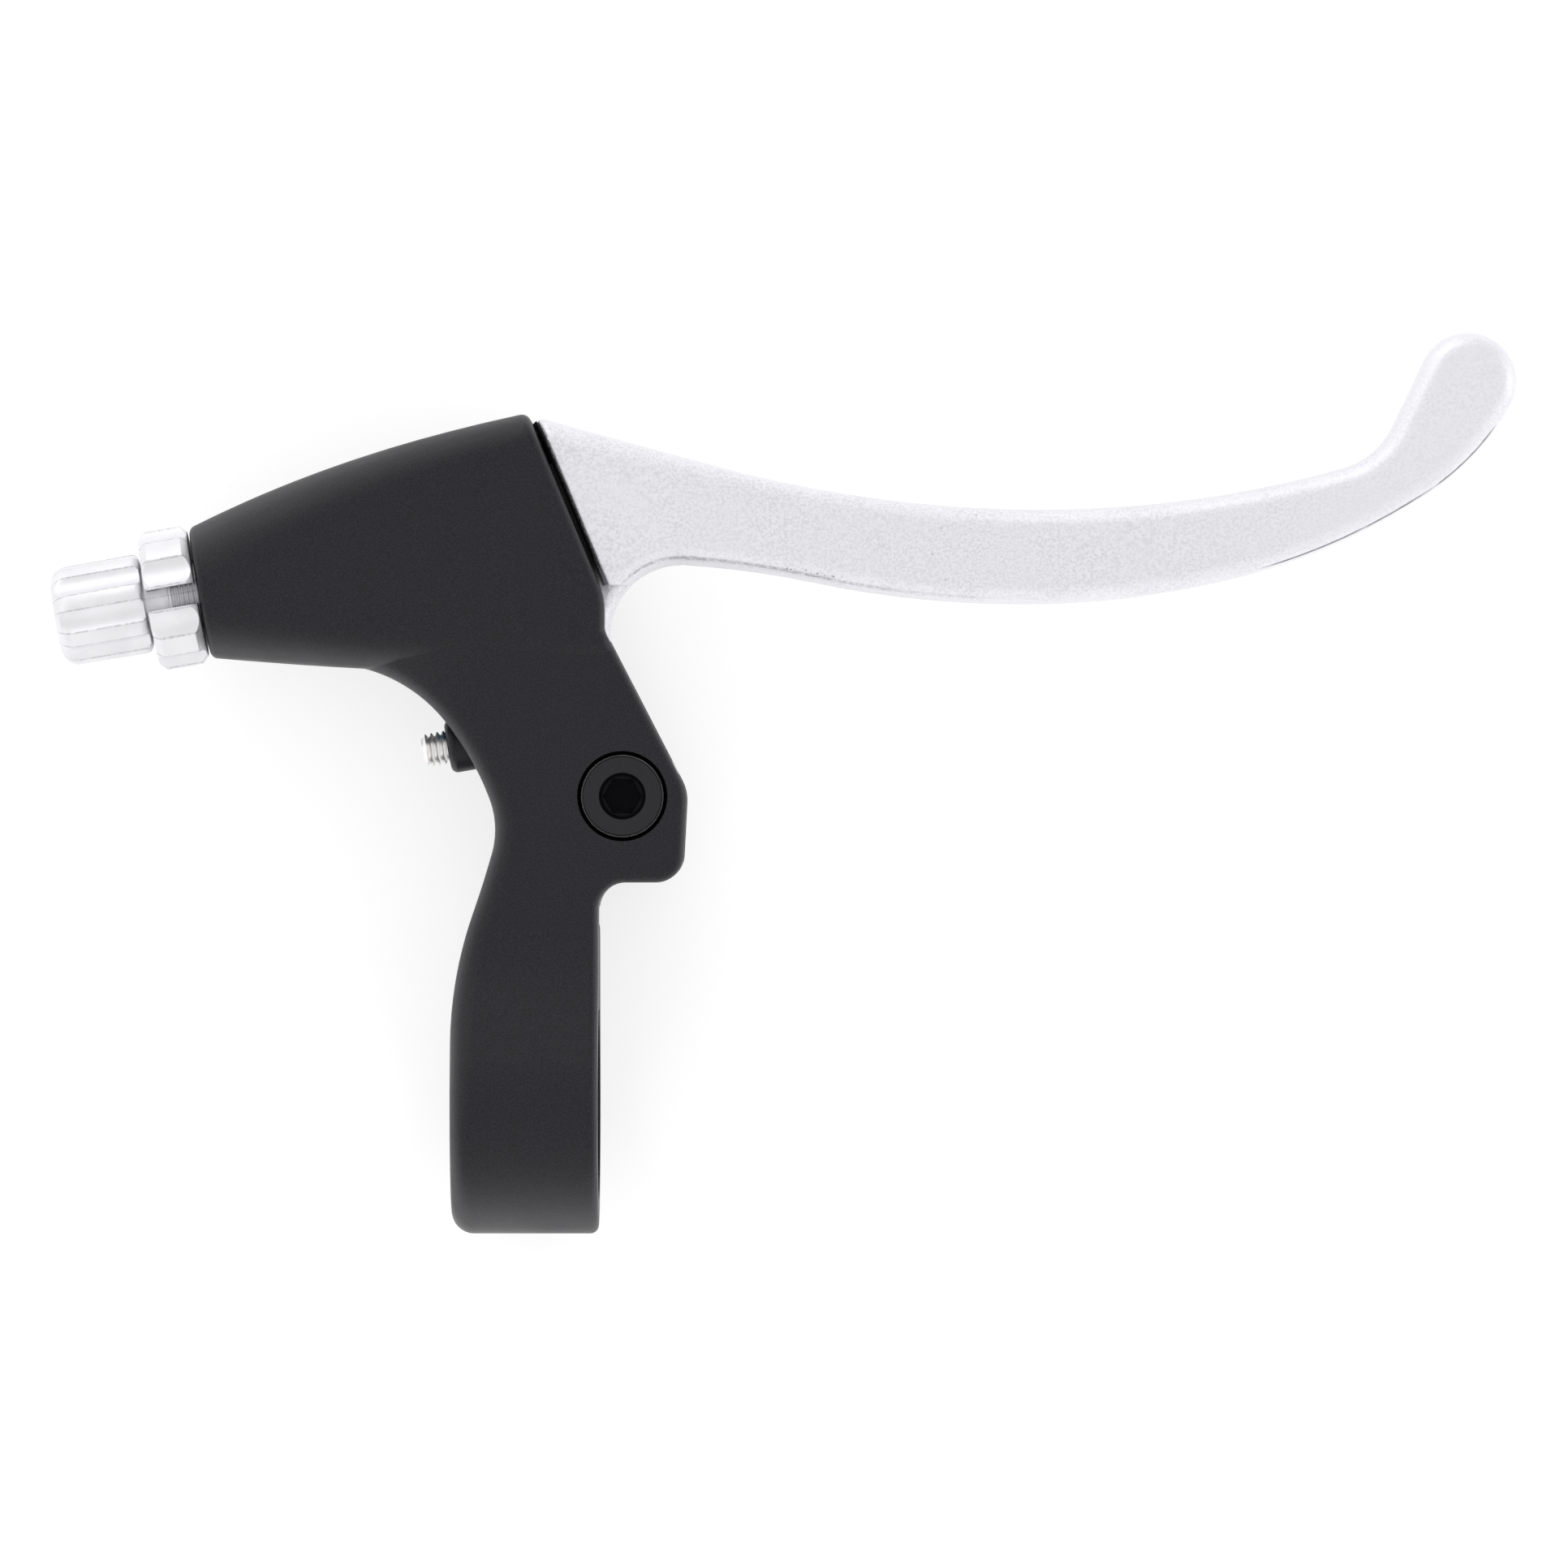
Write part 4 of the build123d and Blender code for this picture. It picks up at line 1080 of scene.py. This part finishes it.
class LEVER_OT_stage(Operator):
    """Sets the floor, the light and the camera"""

    bl_idname = "brake_lever.stage"
    bl_label = "Stage"

    def execute(self, context):
        settings = context.scene.lever_stage
        self.floor(context.scene, settings)
        self.light(context.scene, settings)
        self.camera(context.scene, settings)
        context.scene.view_settings.view_transform = "Standard"
        return {"FINISHED"}

    def floor(self, scene, settings):
        """A pale floor just under the part, which shines white where it is seen and keeps the shadow."""
        half_size = 3.0
        gap = 0.1 * MM
        mesh = bmesh.new()
        bmesh.ops.create_grid(mesh, x_segments=1, y_segments=1, size=half_size)
        data = bpy.data.meshes.new("floor")
        mesh.to_mesh(data)
        mesh.free()
        plane = bpy.data.objects.new("floor", data)
        plane.location = (0, 0, CAD_BOX[0][2] - gap)
        scene.collection.objects.link(plane)
        material, tree, shader = new_material("pale_floor")
        shader.inputs["Base Color"].default_value = (*settings.floor_colour, 1.0)
        shader.inputs["Emission Color"].default_value = (1.0, 1.0, 1.0, 1.0)
        rays = tree.nodes.new("ShaderNodeLightPath").outputs
        seen = math_node(tree, "MAXIMUM", rays["Is Camera Ray"], rays["Is Glossy Ray"])
        seen = math_node(tree, "MAXIMUM", seen, rays["Is Transmission Ray"])
        glow = product(tree, seen, settings.floor_glow)
        set_inputs(tree, shader, {"Roughness": 0.9, "Specular IOR Level": 0.0, "Emission Strength": glow})
        data.materials.append(material)

    def light(self, scene, settings):
        """An even white sky, a little brighter at the sides, and four soft lamps."""
        sides_end = 0.05
        top_start = 0.5
        world = bpy.data.worlds.new("soft_sky")
        world.use_nodes = True
        tree = world.node_tree
        sky = tree.nodes["Background"]
        sky.inputs["Color"].default_value = (1.0, 1.0, 1.0, 1.0)
        height = split_vector(tree, coordinate(tree, "Generated"))["Z"]
        level = tree.nodes.new("ShaderNodeMapRange")
        set_inputs(tree, level, {"Value": height, "From Min": sides_end, "From Max": top_start})
        set_inputs(tree, level, {"To Min": settings.side_level, "To Max": settings.sky_level})
        tree.links.new(level.outputs["Result"], sky.inputs["Strength"])
        scene.world = world
        middle = Vector((settings.view_x, settings.view_y, 0))
        # Each lamp has its place from the middle and its width in metres, and its power in watts
        lamps = (
            ("front_lamp", (-0.35, 0.8, 0.45), 0.7, 1.1),
            ("back_lamp", (0.0, -0.75, 0.5), 0.9, 0.5),
            ("left_lamp", (-0.75, 0.1, 0.5), 0.8, 0.6),
            ("right_lamp", (0.9, 0.0, 0.35), 0.6, 0.8),
        )
        for name, place, size, power in lamps:
            lamp = bpy.data.lights.new(name, "AREA")
            lamp.shape = "SQUARE"
            lamp.size = size
            lamp.energy = power * settings.lamp_level
            holder = bpy.data.objects.new(name, lamp)
            holder.location = middle + Vector(place)
            holder.rotation_euler = (-Vector(place)).to_track_quat("-Z", "Y").to_euler()
            scene.collection.objects.link(holder)

    def camera(self, scene, settings):
        """A camera straight above the part, far enough away that the view is almost without perspective."""
        lens = bpy.data.cameras.new("camera")
        lens.sensor_width = 36.0
        lens.lens = lens.sensor_width * settings.view_height / settings.view_width
        lens.clip_end = 10.0
        holder = bpy.data.objects.new("camera", lens)
        holder.location = (settings.view_x, settings.view_y, settings.view_height)
        scene.collection.objects.link(holder)
        scene.camera = holder


class LEVER_PT_panel(Panel):
    """Sizes and colours of the brake lever"""

    bl_idname = "LEVER_PT_panel"
    bl_label = "Brake lever"
    bl_space_type = "VIEW_3D"
    bl_region_type = "UI"
    bl_category = "Brake lever"

    def draw(self, context):
        for name, group, operators in PARTS:
            box = self.layout.box()
            for operator in operators:
                box.operator(operator)
            settings = getattr(context.scene, name)
            for field in group.__annotations__:
                box.prop(settings, field)


PARTS = (
    ("lever_bracket", BracketSettings, ("brake_lever.bracket",)),
    ("lever_blade", BladeSettings, ("brake_lever.blade",)),
    ("lever_adjuster", AdjusterSettings, ("brake_lever.adjuster",)),
    ("lever_screws", ScrewSettings, ("brake_lever.reach_screw", "brake_lever.bolts")),
    ("lever_stage", StageSettings, ("brake_lever.stage",)),
)

CLASSES = (
    BracketSettings,
    BladeSettings,
    AdjusterSettings,
    ScrewSettings,
    StageSettings,
    LEVER_OT_bracket,
    LEVER_OT_blade,
    LEVER_OT_adjuster,
    LEVER_OT_reach_screw,
    LEVER_OT_bolts,
    LEVER_OT_stage,
    LEVER_PT_panel,
)


def register():
    """Adds the classes, and one group of settings for each part, to Blender."""
    for entry in CLASSES:
        bpy.utils.register_class(entry)
    for name, group, _ in PARTS:
        setattr(bpy.types.Scene, name, PointerProperty(type=group))


def unregister():
    """Takes the settings and the classes out of Blender again."""
    for name, _, _ in PARTS:
        delattr(bpy.types.Scene, name)
    for entry in reversed(CLASSES):
        bpy.utils.unregister_class(entry)


def main():
    """Builds the whole scene."""
    register()
    bpy.ops.brake_lever.bracket()
    bpy.ops.brake_lever.blade()
    bpy.ops.brake_lever.adjuster()
    bpy.ops.brake_lever.reach_screw()
    bpy.ops.brake_lever.bolts()
    bpy.ops.brake_lever.stage()


if __name__ == "__main__":
    main()
